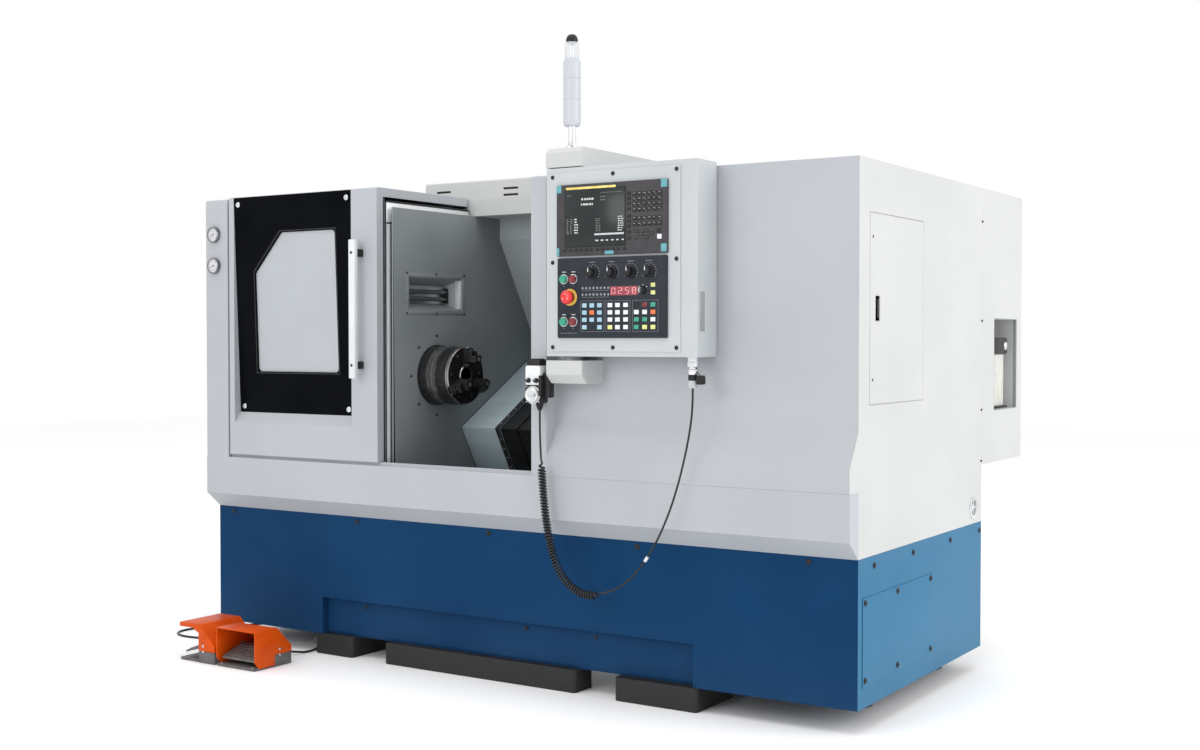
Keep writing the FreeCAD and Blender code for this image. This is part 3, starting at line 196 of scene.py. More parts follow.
def finish(name):
    if name in made:
        return made[name]
    want = {**usual, **finishes[name]}
    material = bpy.data.materials.new(name)
    material.use_nodes = True
    tree = material.node_tree
    shader = tree.nodes["Principled BSDF"]
    link = tree.links.new
    where = tree.nodes.new("ShaderNodeTexCoord")
    run = tree.nodes.new("ShaderNodeMapping")
    run.inputs["Scale"].default_value = want["stretch"]
    link(where.outputs["Object"], run.inputs["Vector"])
    drift = tree.nodes.new("ShaderNodeTexNoise")
    drift.inputs["Scale"].default_value = want["patch"]
    drift.inputs["Detail"].default_value = 5
    link(run.outputs["Vector"], drift.inputs["Vector"])
    tones = tree.nodes.new("ShaderNodeValToRGB")
    tones.color_ramp.elements[0].position = 0.3
    tones.color_ramp.elements[1].position = 0.7
    for stop, tone in zip(tones.color_ramp.elements, want["tones"]):
        stop.color = (*tone, 1)
    link(drift.outputs["Fac"], tones.inputs["Fac"])
    colour = tones.outputs["Color"]
    if "dust" in want:    # a little dust settles on the lowest part
        split = tree.nodes.new("ShaderNodeSeparateXYZ")
        link(where.outputs["Object"], split.inputs["Vector"])
        rise = tree.nodes.new("ShaderNodeMapRange")
        rise.inputs["From Min"].default_value = 0.08
        rise.inputs["From Max"].default_value = 0.32
        rise.inputs["To Min"].default_value = want["dust"]
        rise.inputs["To Max"].default_value = 0
        link(split.outputs["Z"], rise.inputs["Value"])
        spread = tree.nodes.new("ShaderNodeMath")
        spread.operation = "MULTIPLY"
        link(rise.outputs["Result"], spread.inputs[0])
        link(drift.outputs["Fac"], spread.inputs[1])
        dusty = tree.nodes.new("ShaderNodeMix")
        dusty.data_type = "RGBA"
        dusty.inputs["B"].default_value = (0.32, 0.33, 0.34, 1)
        link(spread.outputs[0], dusty.inputs["Factor"])
        link(colour, dusty.inputs["A"])
        colour = dusty.outputs["Result"]
    link(colour, shader.inputs["Base Color"])
    sheen = tree.nodes.new("ShaderNodeMapRange")
    sheen.inputs["To Min"].default_value, sheen.inputs["To Max"].default_value = want["gloss"]
    link(drift.outputs["Fac"], sheen.inputs["Value"])
    link(sheen.outputs["Result"], shader.inputs["Roughness"])
    grain = tree.nodes.new("ShaderNodeTexNoise")
    grain.inputs["Scale"].default_value = want["grain"][0]
    grain.inputs["Detail"].default_value = 2
    link(run.outputs["Vector"], grain.inputs["Vector"])
    lift = tree.nodes.new("ShaderNodeBump")
    lift.inputs["Strength"].default_value = 0.6
    lift.inputs["Distance"].default_value = want["grain"][1]
    link(grain.outputs["Fac"], lift.inputs["Height"])
    link(lift.outputs["Normal"], shader.inputs["Normal"])
    shader.inputs["Metallic"].default_value = want["metal"]
    shader.inputs["Specular IOR Level"].default_value = want["shine"]
    shader.inputs["Coat Weight"].default_value = want["coat"]
    shader.inputs["Coat Roughness"].default_value = 0.2
    shader.inputs["Alpha"].default_value = want["alpha"]
    if "glow" in want:
        link(colour, shader.inputs["Emission Color"])
        shader.inputs["Emission Strength"].default_value = want["glow"]
    made[name] = material
    return material


# Mesh builders. Each adds one form to a bmesh, in the lathe's own mm,
# and gives it one of the piece's finishes.
def dress(faces, coat):
    for face in faces:
        face.material_index = coat
        face.smooth = True


def rolled(bm, sides, reach):
    ring = {e for f in sides for e in f.edges}
    cut = bmesh.ops.bevel(bm, geom=list(ring), offset=reach, segments=2, affect="EDGES", profile=0.5)
    return list({f for f in sides if f.is_valid} | set(cut["faces"]))


def block(bm, x0, x1, y0, y1, z0, z1, edge=1.0, coat=0):
    corners = [bm.verts.new(at(x, y, z)) for x in (x0, x1) for y in (y0, y1) for z in (z0, z1)]
    sides = [bm.faces.new([corners[i] for i in loop]) for loop in
             ((0, 1, 3, 2), (4, 6, 7, 5), (0, 4, 5, 1), (2, 3, 7, 6), (0, 2, 6, 4), (1, 5, 7, 3))]
    dress(sides, coat)
    if edge:
        reach = min(edge, 0.45 * min(x1 - x0, y1 - y0, z1 - z0)) / 1000
        sides = rolled(bm, sides, reach)
    dress(sides, coat)


def placeAlong(axis, low, a, b):
    if axis == "x":
        return at(low, a, b)
    if axis == "y":
        return at(a, low, b)
    return at(a, b, low)


def prism(bm, near, far, edge=0.0, coat=0):
    near = [bm.verts.new(spot) for spot in near]
    far = [bm.verts.new(spot) for spot in far]
    sides = [bm.faces.new(near[::-1]), bm.faces.new(far)]
    for i in range(len(near)):
        j = (i + 1) % len(near)
        sides.append(bm.faces.new((near[i], near[j], far[j], far[i])))
    bmesh.ops.recalc_face_normals(bm, faces=sides)
    dress(sides, coat)
    if edge:
        dress(rolled(bm, sides, edge / 1000), coat)


def slab(bm, axis, outline, low, high, edge=0.0, coat=0):
    near, far = [[placeAlong(axis, way, a, b) for a, b in outline] for way in (low, high)]
    prism(bm, near, far, edge, coat)


def rounded(x0, x1, z0, z1, r, steps=5):
    points = []
    for cx, cz, start in ((x1 - r, z1 - r, 0), (x0 + r, z1 - r, 90), (x0 + r, z0 + r, 180),
                          (x1 - r, z0 + r, 270)):
        for i in range(steps + 1):
            turn = math.radians(start + 90 * i / steps)
            points.append((cx + r * math.cos(turn), cz + r * math.sin(turn)))
    return points


def turned(bm, centre, way, profile, steps=32, coat=0, flutes=None):
    # profile: (distance along, radius, optional shape); "hex" flattens that ring into six sides
    way = Vector(way).normalized()
    side = way.orthogonal().normalized()
    up = way.cross(side)
    loops = []
    faces = []
    for ring in profile:
        along, radius = ring[0], ring[1]
        loop = []
        for i in range(steps):
            turn = 2 * math.pi * i / steps
            r = radius
            if len(ring) > 2 and ring[2] == "hex":
                r = radius * math.cos(math.pi / 6) / math.cos((turn % (math.pi / 3)) - math.pi / 6)
            elif len(ring) > 2 and flutes:
                r = radius - flutes[1] * (0.5 + 0.5 * math.cos(flutes[0] * turn)) ** 2
            out = side * math.cos(turn) + up * math.sin(turn)
            loop.append(bm.verts.new(at(*centre) + (way * along + out * r) / 1000))
        loops.append(loop)
    for low, high in zip(loops, loops[1:]):
        for i in range(steps):
            j = (i + 1) % steps
            faces.append(bm.faces.new((low[i], low[j], high[j], high[i])))
    if profile[0][1] > 0.01:
        faces.append(bm.faces.new(loops[0][::-1]))
    if profile[-1][1] > 0.01:
        faces.append(bm.faces.new(loops[-1]))
    dress(faces, coat)


def screw(bm, centre, way, r, rise, coat=0):
    turned(bm, centre, way,
           [(-0.3, r), (rise * 0.45, r), (rise * 0.85, r * 0.86), (rise, r * 0.62), (rise, r * 0.46, "hex"),
                             (rise * 0.35, r * 0.44, "hex"), (rise * 0.33, 0.001)], 24, coat)


def sweep(bm, path, radius, steps=10, coat=0, radii=None):
    # a tube through points in metres, carried along without twisting
    forward = (path[1] - path[0]).normalized()
    side = forward.orthogonal().normalized()
    last = None
    faces = []
    for i, point in enumerate(path):
        ahead = (path[min(i + 1, len(path) - 1)] - path[max(i - 1, 0)]).normalized()
        side = (side - ahead * side.dot(ahead)).normalized()
        up = ahead.cross(side)
        r = radii[i] if radii else radius
        turns = [2 * math.pi * k / steps for k in range(steps)]
        ring = [bm.verts.new(point + (side * math.cos(turn) + up * math.sin(turn)) * r) for turn in turns]
        if last:
            for k in range(steps):
                j = (k + 1) % steps
                faces.append(bm.faces.new((last[k], last[j], ring[j], ring[k])))
        else:
            faces.append(bm.faces.new(ring[::-1]))
        last = ring
    faces.append(bm.faces.new(last))
    dress(faces, coat)


def piece(name, bm, coats, body, sharp=35, stays=()):
    mesh = bpy.data.meshes.new(name)
    bmesh.ops.recalc_face_normals(bm, faces=bm.faces)
    bm.to_mesh(mesh)
    bm.free()
    for coat in ([coats] if isinstance(coats, str) else coats):
        mesh.materials.append(finish(coat))
    mesh.set_sharp_from_angle(angle=math.radians(sharp))
    thing = bpy.data.objects.new(name, mesh)
    scene.collection.objects.link(thing)
    if body:
        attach(thing, body)
    if stays:
        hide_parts(*stays)
    return thing


def softened(node, coat, body, slot, radius=1.5, otherCoat=None, isOther=None):
    # the sheet-metal part again, its edges rounded as a press brake leaves them
    # isOther picks the faces that get otherCoat
    bm = bmesh.new()
    bm.from_mesh(nodes[node].data)
    bmesh.ops.remove_doubles(bm, verts=bm.verts, dist=0.00003)
    bmesh.ops.dissolve_limit(bm, angle_limit=math.radians(1.5), verts=bm.verts, edges=bm.edges)
    for face in bm.faces:
        face.material_index = int(isOther is not None and isOther(face.normal, face.calc_center_median()))
        face.smooth = True
    finished = piece(node + ".finished", bm, (coat, otherCoat) if otherCoat else coat, body, 35,
                     (node,))
    round = finished.modifiers.new("edges", "BEVEL")
    round.width = radius / 1000
    round.segments = 2
    round.limit_method = "ANGLE"
    round.angle_limit = math.radians(35)
    round.harden_normals = True
    round.use_clamp_overlap = True
    bpy.context.view_layer.update()
    done = bpy.data.meshes.new_from_object(finished.evaluated_get(bpy.context.evaluated_depsgraph_get()))
    finished.modifiers.clear()
    finished.data = done
    return finished


# Camera
lens = bpy.data.cameras.new("camera")
lens.lens = 44.15
lens.sensor_width = 36
lens.clip_end = 60
camera = bpy.data.objects.new("camera", lens)
scene.collection.objects.link(camera)
camera.location = at(4248.3, -3918.8, 1066.7)
camera.rotation_euler = Vector((-0.5415, 0.8403, -0.0244)).to_track_quat("-Z", "Y").to_euler()
scene.camera = camera
print("camera set")


# Cords
def routeCurve(name, points):
    curve = bpy.data.curves.new(name, "CURVE")
    curve.dimensions = "3D"
    curve.resolution_u = 16
    spline = curve.splines.new("NURBS")
    spline.points.add(len(points) - 1)
    for spot, point in zip(spline.points, points):
        spot.co = (*at(*point), 1)
    spline.order_u = 3
    spline.use_endpoint_u = True
    line = bpy.data.objects.new(name, curve)
    scene.collection.objects.link(line)
    return line


def readLine(line):
    bpy.context.view_layer.update()
    mesh = bpy.data.meshes.new_from_object(line.evaluated_get(bpy.context.evaluated_depsgraph_get()))
    points = [v.co.copy() for v in mesh.vertices]
    bpy.data.meshes.remove(mesh)
    return points


handwheelCord = dict(
    thick=6.5, turnRadius=10.0, pitch=9.5, stepsPerTurn=16, endStretch=4, curlFrom=0.752, curlTo=1.30,
    length=4.24, tagAt=(1960, -111, 400),
    route=((2115, -100, 921), (2115, -100, 868), (2109, -104, 800), (2094, -107, 722), (2073, -109, 640),
           (2046, -110, 560), (2013, -111, 485), (1976, -111, 420), (1932, -111, 362), (1884, -110, 318),
           (1840, -110, 293), (1799, -110, 281), (1758, -110, 269), (1712, -110, 276), (1672, -110, 302),
           (1638, -110, 340), (1614, -109, 392), (1598, -108, 450), (1585, -106, 512), (1576, -104, 578),
           (1569, -102, 650), (1563, -101, 722), (1560, -100, 786), (1560, -100, 841)),
)


def curledPath(line, want):
    # plain lead, then a helix round the same line, then a plain tail
    middle = readLine(line)
    spans = [0.0]
    for a, b in zip(middle, middle[1:]):
        spans.append(spans[-1] + (b - a).length)
    total = spans[-1]

    def pick(d):
        for i in range(1, len(spans)):
            if spans[i] >= d:
                t = (d - spans[i - 1]) / max(spans[i] - spans[i - 1], 1e-9)
                return middle[i - 1].lerp(middle[i], t), (middle[i] - middle[i - 1]).normalized()
        return middle[-1], (middle[-1] - middle[-2]).normalized()

    start, stop = want["curlFrom"], want["curlTo"]
    path = [p for p, d in zip(middle, spans) if d < start - 0.012]
    side = Vector((0, -1, 0))
    pitch = want["pitch"] / 1000
    d, turn = start, 0.0
    while d <= stop:    # the turns open out at both ends of the curl
        centre, ahead = pick(d)
        side = (side - ahead * side.dot(ahead)).normalized()
        up = ahead.cross(side)
        grow = min(1, min(d - start, stop - d) / (pitch * want["endStretch"]))
        grow = grow * grow * (3 - 2 * grow)
        r = want["turnRadius"] / 1000 * grow
        path.append(centre + (side * math.cos(turn) + up * math.sin(turn)) * r)
        d += pitch * (want["endStretch"] + (1 - want["endStretch"]) * grow) / want["stepsPerTurn"]
        turn += 2 * math.pi / want["stepsPerTurn"]
    path += [p for p, d in zip(middle, spans) if d > stop + 0.012]
    return path, total


handwheelLine = routeCurve("handwheelRoute", handwheelCord["route"])
handwheelPath, plainLength = curledPath(handwheelLine, handwheelCord)
bpy.data.objects.remove(handwheelLine)
bm = bmesh.new()
sweep(bm, handwheelPath, handwheelCord["thick"] / 2000, 10)
handwheelLead = piece("handwheelCord", bm, "cordRubber", None, 60,
                      ("pendant_lead", "pendant_curl"))
tagMiddle = min(range(60, len(handwheelPath)),
                key=lambda i: (handwheelPath[i] - at(*handwheelCord["tagAt"])).length)
bm = bmesh.new()
tagPath = handwheelPath[tagMiddle - 2:tagMiddle + 3]
sweep(bm, tagPath, handwheelCord["thick"] / 2000 + 0.0016, 16)
cordTag = piece("cordTag", bm, "pendantWhite", None, 60)
cordLength = sum((b - a).length for a, b in zip(handwheelPath, handwheelPath[1:]))
print("handwheel cord", round(plainLength, 4), round(cordLength, 4))
for part in (handwheelLead, cordTag):
    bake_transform(part)

footCords = dict(
    thick=8.0,
    left=((310, -140, -55), (310, -100, -55), (292, -60, -63), (254, -30, -71), (196, -14, -71),
          (124, -12, -71), (52, -22, -71), (-20, -42, -71), (-90, -62, -71), (-155, -62, -71),
          (-205, -36, -71), (-226, 12, -71), (-214, 70, -71), (-178, 122, -71), (-128, 176, -71),
          (-82, 240, -71), (-52, 312, -71), (-38, 392, -71), (-14, 466, -71), (34, 524, -71),
          (96, 562, -71), (141, 585, -71), (159, 594, -59), (170, 600, -38), (170, 600, -10)),
    right=((440, -155, -55), (440, -113, -55), (449, -68, -63), (463, -28, -71), (464, 18, -71),
           (446, 62, -71), (410, 102, -71), (366, 138, -71), (322, 178, -71), (286, 224, -71),
           (264, 278, -71), (252, 334, -71), (244, 384, -71), (234, 414, -71), (220, 440, -71),
           (211, 459, -59), (206, 470, -38), (206, 470, -10)),
    lengths=dict(left=1.434, right=0.754),
)
for side in ("left", "right"):
    cordLine = routeCurve("footCord" + side.capitalize(), footCords[side])
    cordLine.data.bevel_depth = footCords["thick"] / 2000
    cordLine.data.bevel_resolution = 3
    cordLine.data.use_fill_caps = True
    cordLine.data.materials.append(finish("cordRubber"))
    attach(cordLine, "machine")
    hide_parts("foot_cord_" + side)
print("cords laid")

# Casing: the folded steel covers, the blue base and what they stand on
casing = (
    ("front_skirt", "coverPaint", "machine", "covers", 2.0),
    ("headstock_cover", "coverPaint", "machine", "covers", 1.2),
    ("right_front_cover", "coverPaint", "machine", "covers", 1.2),
    # the brighter cover copy on these parts is painted light, not another paint
    ("right_end_cover", "sidePaint", "machine", "covers", 1.0),
    ("access_door", "sidePaint", "access_door", "covers", 0.8),
    # the vent box faces left of x 1500 get the brighter copy: painted light
    ("roof_rear_cover", "coverPaint", "machine", "covers", 1.2, "sidePaint", lambda way,
     spot: spot.x < at(1500, 0, 0).x),
    ("electrical_cabinet", "sidePaint", "machine", "covers", 1.2),
    ("cabinet_door", "sidePaint", "cabinet_door", "covers", 1.0),
    ("door_frame", "coverPaint", "door", "covers", 1.5),
    ("door_plate", "doorBlack", "door", "door_black", 0.8),
    ("panel_arm", "sidePaint", "machine", "covers", 1.5),
    ("panel_housing", "panelPaint", "panel", "covers", 1.5),
    # the faces of the base's right end get the lighter blue copy: painted light
    ("base_frame", "bluePaint", "machine", "base_blue", 2.5, "blueEndPaint", lambda way,
     spot: way.x > 0.9 and spot.x > at(2590, 0, 0).x),
    ("bed_feet", "footPaint", "machine", "feet_black", 2.5),
    ("splash_guard", "wallPaint", "machine", "guard_grey", 0.8, "backPaint", lambda way,
     spot: way.y < -0.5 and spot.y > at(0, 300, 0).y),
    ("chuck_body", "turnedSteel", "spindle", "chuck_steel", 0.8, "blackedSteel", lambda way,
     spot: way.x > 0.9 and spot.x > at(985, 0, 0).x),
    ("jaw_1", "blackedSteel", "jaw_1", "jaw_steel", 1.0),
    ("jaw_2", "blackedSteel", "jaw_2", "jaw_steel", 1.0),
    ("jaw_3", "blackedSteel", "jaw_3", "jaw_steel", 1.0),
    ("turret_disc", "groundSteel", "turret", "steel", 1.0),
    ("turret_slide", "castIron", "cross_slide", "bed_iron", 1.5),
    ("tailstock", "castIron", "tailstock", "bed_iron", 2.0),
)
for node, coat, body, slot, radius, *end in casing:
    softened(node, coat, body, slot, radius, *end)
print("casing finished")

# Inner castings keep their shape and get their finish
for node, coat in {
    "machine_bed": "castIron", "headstock": "castIron", "spindle": "groundSteel", "saddle": "wornCover",
    "quill": "groundSteel",
    "way_cover_mid_1": "wornCover", "way_cover_mid_2": "wornCover", "work_light": "lampCover",
    "door_glass": "clearSheet",
}.items():
    for seat in nodes[node].material_slots:
        seat.material = finish(coat)

# Screws of the covers and base
coverScrews = dict(
    front=(77, 696, 1281, 1862, 2446), toe=(715, 1418, 1691), end=(119, 433, 769, 1063),
    seam=(1472, 1130, 822, 645),
    plateY=(48, 300, 582), plateZ=(305, 80), wallRing=142, lampY=(56, 218, 380), lampZ=(1158, 1299),
)
bm = bmesh.new()
for x in coverScrews["front"]:
    screw(bm, (x, 0, 418), toFront, 9, 4)
for x in coverScrews["toe"]:
    screw(bm, (x, 26, 110), toFront, 7, 4)
for x, way in ((2600, 1), (0, -1)):
    for y in coverScrews["end"]:
        screw(bm, (x, y, 405), (way, 0, 0), 9, 4)
    for y in coverScrews["plateY"]:
        for z in coverScrews["plateZ"]:
            screw(bm, (x + 2 * way, y, z), (way, 0, 0), 9, 4)
for z in coverScrews["seam"]:
    screw(bm, (2600, 1075, z), toRight, 4, 4)
for i in range(8):
    turn = math.radians(45 * i)
    screw(bm,
          (880, spindleY + coverScrews["wallRing"] * math.cos(turn),
           spindleZ + coverScrews["wallRing"] * math.sin(turn)), toRight, 5, 3)
for y in coverScrews["lampY"]:
    for z in coverScrews["lampZ"]:
        screw(bm, (880, y, z), toRight, 4, 4)
piece("coverScrews", bm, "blackedSteel", "machine", 30, ("cover_screws",))
print("screws in")

# Sliding door: window gasket, plate screws, seal under the roof, pull handle
door = dict(
    window=((250, 948), (647, 948), (647, 1453), (386, 1453), (250, 1309)), gasket=7,
    screwSpots=((172, 1562), (706, 1562), (172, 818), (690, 818)),
    handleX=775, handleZ=(931, 1410), standoffs=(976, 1365),
)


def plateY(z):    # the black plate leans: sunk 30 at its foot, flush at its head
    return -63 + 30 * (1 - (z - 796) / 792)


def grown(points, out):
    cx = sum(p[0] for p in points) / len(points)
    cz = sum(p[1] for p in points) / len(points)
    return [(x + math.copysign(out, x - cx), z + math.copysign(out, z - cz)) for x, z in points]


bm = bmesh.new()
inner, outer = grown(door["window"], -4), grown(door["window"], door["gasket"])
for i in range(5):
    j = (i + 1) % 5
    loop = []
    for x, z in (outer[i], outer[j], inner[j], inner[i]):
        loop.append((x, plateY(z) - 0.3, z))
    front = [bm.verts.new(at(x, y - 1.2, z)) for x, y, z in loop]
    back = [bm.verts.new(at(x, y + 4, z)) for x, y, z in loop]
    sides = [bm.faces.new(front), bm.faces.new(back[::-1])]
    for k in range(4):
        m = (k + 1) % 4
        sides.append(bm.faces.new((front[k], back[k], back[m], front[m])))
    dress(sides, 0)
bmesh.ops.remove_doubles(bm, verts=bm.verts, dist=0.00002)
piece("windowGasket", bm, "rubber", "door")

bm = bmesh.new()
for x, z in door["screwSpots"]:
    screw(bm, (x, plateY(z), z), toFront, 10, 3.5)
piece("doorPlateScrews", bm, "chrome", "door", 30)

bm = bmesh.new()
block(bm, 845, 849, -31, -24, 642, 1560, 1.2)
block(bm, 125, 846, 434, 444.5, 1552, 1562, 1.5)
piece("doorSeals", bm, "rubber", "door")

bm = bmesh.new()
x, (z0, z1) = door["handleX"], door["handleZ"]
slab(bm, "z", rounded(x - 15, x + 15, -113, -95, 5), z0, z1, 1.2, 0)
for z in door["standoffs"]:
    block(bm, x - 12, x + 12, -96, -63, z - 13, z + 13, 2.5, 1)
    screw(bm, (x, -113, z), toFront, 5, 1.5, 1)
piece("pullHandle", bm, ("handlePaint", "blackPlastic"), "door", 35, ("door_handle",))
print("door dressed")

# Left column, headstock cover edge: seals and the bright wiper strip
bm = bmesh.new()
block(bm, 849.5, 854, -22.3, -14, 630, 1545, 1.0)
block(bm, 855, 861, -22, 440, 1467, 1472, 1.5)
block(bm, 855, 861, -22, 440, 1541, 1547, 1.5)
piece("headstockSeals", bm, "rubber", "machine")
bm = bmesh.new()
block(bm, 855, 867, -22.3, -13, 630, 1466, 1.0)
piece("headstockFlange", bm, "coverPaint", "machine")
bm = bmesh.new()
block(bm, 855, 859, -22, 436, 1472, 1541, 1.2)
for y in (0, 200, 400):
    screw(bm, (859, y, 1506), toRight, 4, 2)
piece("wiperStrip", bm, "aluminium", "machine")

# Pressure gauges in the left column
gauges = dict(x=50, y=-63, heights=(1456, 1340), r=30, sweepFrom=-45, marks=11)
bm = bmesh.new()
for z in gauges["heights"]:
    r = gauges["r"]
    turned(bm, (gauges["x"], gauges["y"], z), toFront,
           [(0, r), (10, r), (13, r - 1), (14, r - 2.5), (13, r - 5), (9, r - 5.5), (9, 0.001)], 48, 5)
    turned(bm, (gauges["x"], -72.2, z), toFront, [(0, 24.6), (0.6, 24.6), (0.6, 0.001)], 40, 1)
    for i in range(gauges["marks"]):
        turn = math.radians(gauges["sweepFrom"] + 270 * i / (gauges["marks"] - 1))
        long = 6 if i % 5 == 0 else 4
        cx, cz = math.cos(turn), math.sin(turn)
        quad = [(22, -0.9), (22 - long, -0.9), (22 - long, 0.9), (22, 0.9)]
        spots = [bm.verts.new(at(gauges["x"] + a * cx - b * cz, -73.0, z + a * cz + b * cx)) for a, b in quad]
        dress([bm.faces.new(spots)], 2)
    lean = math.radians(gauges["sweepFrom"] + 250)
    cx, cz = math.cos(lean), math.sin(lean)
    spots = [bm.verts.new(at(gauges["x"] + a * cx - b * cz, -73.6, z + a * cz + b * cx)) for a,
             b in ((-7, -2.2), (19, -0.6), (19, 0.6), (-7, 2.2))]
    dress([bm.faces.new(spots)], 2)
    turned(bm, (gauges["x"], -72.8, z), toFront, [(0, 3), (1.4, 3), (1.8, 2), (1.8, 0.001)], 20, 0)
    turned(bm, (gauges["x"], -74.6, z), toFront, [(0, 25), (0.8, 24.6), (0.8, 0.001)], 40, 3)
turned(bm, (58, -63, 1209), toFront, [(0, 20), (0.8, 19.5), (0.8, 0.001)], 40,
       4)    # blanked hole for a third gauge
piece("pressureGauges", bm,
      ("blackPlastic", "dialWhite", "blackPlastic", "gaugeGlass", "coverPaint", "gaugeRim"), "machine",
      35, ("pressure_gauges",))
print("gauges in")

# Work area: way cover with its black wiper, lamp, chuck back plate bolts and jaw screws
wayCover = dict(left=880, right=1055, run=561, drop=187, thick=2.5, rim=3)
bm = bmesh.new()
foot, run, thick, rim = 4 - wayCover["drop"], wayCover["run"], wayCover["thick"], wayCover["rim"]
sheet = ((0, foot), (0, 0), (run, 0), (run, -thick), (thick, -thick), (thick, foot))
slab(bm, "x", [onSlant(s, n) for s, n in sheet], wayCover["left"], wayCover["right"], 0.6, 0)
wiper = ((-rim, foot), (-rim, rim), (run, rim), (run, 0), (0, 0), (0, foot))
slab(bm, "x", [onSlant(s, n) for s, n in wiper], wayCover["right"] - 20, wayCover["right"], 0.8, 1)
c, i = math.cos(slant["rise"]), math.sin(slant["rise"])
for s in range(30, 560, 50):
    y, z = onSlant(s, rim)
    screw(bm, (wayCover["right"] - 10, y, z), (0, -i, c), 3.2, 1.6, 2)
for n in range(-165, -5, 40):
    y, z = onSlant(-rim, n)
    screw(bm, (wayCover["right"] - 10, y, z), (0, -c, -i), 3.2, 1.6, 2)
piece("wayCover", bm, ("guardSteel", "rubber", "zinc"), "machine", 30, ("way_cover",))

lamp = dict(y=(68, 368), z=(1170, 1287), tubeX=832, tubeZ=(1212, 1238), holderY=(96, 330))
bm = bmesh.new()
for z in lamp["tubeZ"]:
    turned(bm, (lamp["tubeX"], 104, z), (0, 1, 0),
           [(0, 5), (3, 7.5), (8, 8), (216, 8), (222, 7.5), (226, 5)], 24, 0)
for y in lamp["holderY"]:
    block(bm, 814, 838, y, y + 12, 1198, 1252, 2, 1)
block(bm, 806, 822, 92, 344, 1193, 1262, 3, 2)
piece("workLampTubes", bm, ("lampTube", "blackPlastic", "satinSilver"), "machine", 35)
bm = bmesh.new()
y0, y1, z0, z1 = *lamp["y"], *lamp["z"]
for a in ((880, 882, y0 - 16, y1 + 16, z1, z1 + 14), (880, 882, y0 - 16, y1 + 16, z0 - 14, z0),
          (880, 882, y0 - 16, y0, z0, z1), (880, 882, y1, y1 + 16, z0, z1)):
    block(bm, *a, 0.6)
block(bm, 822, 879.5, 358, 365, 1176, 1281, 1.5, 1)
piece("lampFrame", bm, ("wallPaint", "aluminium"), "machine")

chuck = dict(boltRing=80, boltLean=26, grooveX=(936, 1002))
bm = bmesh.new()
for x in chuck["grooveX"]:
    turned(bm, (x, spindleY, spindleZ), toRight, [(-0.1, 103.2), (0, 103.5), (2.4, 103.5), (2.5, 103.2)],
           96, 0)
for i in range(3):
    for lean in (-chuck["boltLean"], chuck["boltLean"]):
        turn = math.radians(150 + 120 * i + lean)
        screw(bm,
              (1013, spindleY + chuck["boltRing"] * math.cos(turn),
               spindleZ + chuck["boltRing"] * math.sin(turn)), toRight, 8, 5, 1)
turned(bm, (954, spindleY, spindleZ), toRight, [(0, 103.1), (0.4, 103.5), (46, 103.5), (46.4, 103.1)], 96, 1)
turned(bm, (884.2, spindleY, spindleZ), toRight, [(0, 105.2), (0.5, 106), (31, 106), (35.6, 104.5)], 96, 1)
turned(bm, (1008, spindleY, spindleZ), toRight, [(0, 36), (5.5, 36), (7.5, 34.5), (7.5, 30), (0, 29.5)], 64,
       0)
piece("chuckFittings", bm, ("groundSteel", "blackedSteel"), "spindle", 30)
for number, turn in ((1, 90), (2, 210), (3, 330)):
    bm = bmesh.new()
    a = math.radians(turn)
    for r, x in ((58, 1070), (86, 1032)):
        screw(bm, (x, spindleY + r * math.cos(a), spindleZ + r * math.sin(a)), toRight, 8.5, 1.2)
    piece("jawScrews" + str(number), bm, "zinc", "jaw_" + str(number), 30)
print("work area dressed")

# Operator panel: face plate screws, side slot, screen unit, key unit
panel = dict(face=-128, unitFace=-136, screen=(1650, 2048, 1323, 1543), keys=(1653, 2046, 1070, 1317))
bm = bmesh.new()
for x in (1630, 1852, 2075):
    for z in (1041, 1305, 1570):
        if (x, z) != (1852, 1305):
            screw(bm, (x, panel["face"], z), toFront, 6.5, 3)
piece("facePlateScrews", bm, "blackedSteel", "panel", 30)
bm = bmesh.new()
block(bm, 2139.5, 2141, -110, -75, 1087, 1210, 0.4)
piece("panelSideSlot", bm, "pocketGrey", "panel")

bm = bmesh.new()
x0, x1, z0, z1 = panel["screen"]
slab(bm, "y", rounded(x0, x1, z0, z1, 4), -136, -128, 1.2, 0)
face = panel["unitFace"]


def key(bm, x, z, w, h, coat, proud=1.1, edge=0.5):
    block(bm, x - w / 2, x + w / 2, face - proud, face + 0.4, z - h / 2, z + h / 2, edge, coat)


display = dict(
    x=(1684, 1900), z=(1353, 1526), titleBar=(1687, 1868, 1527, 1534), whiteBar=(1791, 1897, 1384, 1389.5),
    softKeysX=(1681, 1703, 1723, 1741, 1760, 1778, 1801, 1820, 1838, 1859, 1877, 1899),
    sideKeysZ=(1506, 1491, 1475, 1459, 1437, 1422, 1407, 1390, 1370),
    keyRows=(1503, 1487, 1471.5, 1455.5, 1429, 1412),
    arrows=((1942, 1391), (1976, 1391), (1958, 1383), (1995, 1383), (1942, 1372), (1976, 1372)),
    tabs=((1650.5, 1668, 1519, 1542.5), (2026, 2047.5, 1518, 1542.5), (1650.5, 1660, 1325, 1349),
          (2026, 2046, 1327, 1351), (1828, 1860, 1325, 1336)),
    # made-up rows of marks: (left, right, top, bottom, rows, mark height, coat)
    lists=((1740, 1790, 1496, 1480, 2, 6.0, 4), (1811, 1834, 1501, 1491, 2, 3.0, 8),
           (1807, 1896, 1513, 1513, 1, 1.6, 8), (1690, 1712, 1508, 1508, 1, 2.4, 8),
           (1688, 1697, 1435, 1392, 9, 2.4, 8), (1702, 1711, 1435, 1392, 9, 2.4, 8),
           (1716, 1731, 1435, 1394, 6, 4.0, 4),
           (1794, 1813, 1434, 1397, 8, 2.0, 8), (1874, 1896, 1438, 1397, 7, 3.0, 4)),
)
dx0, dx1 = display["x"]
dz0, dz1 = display["z"]
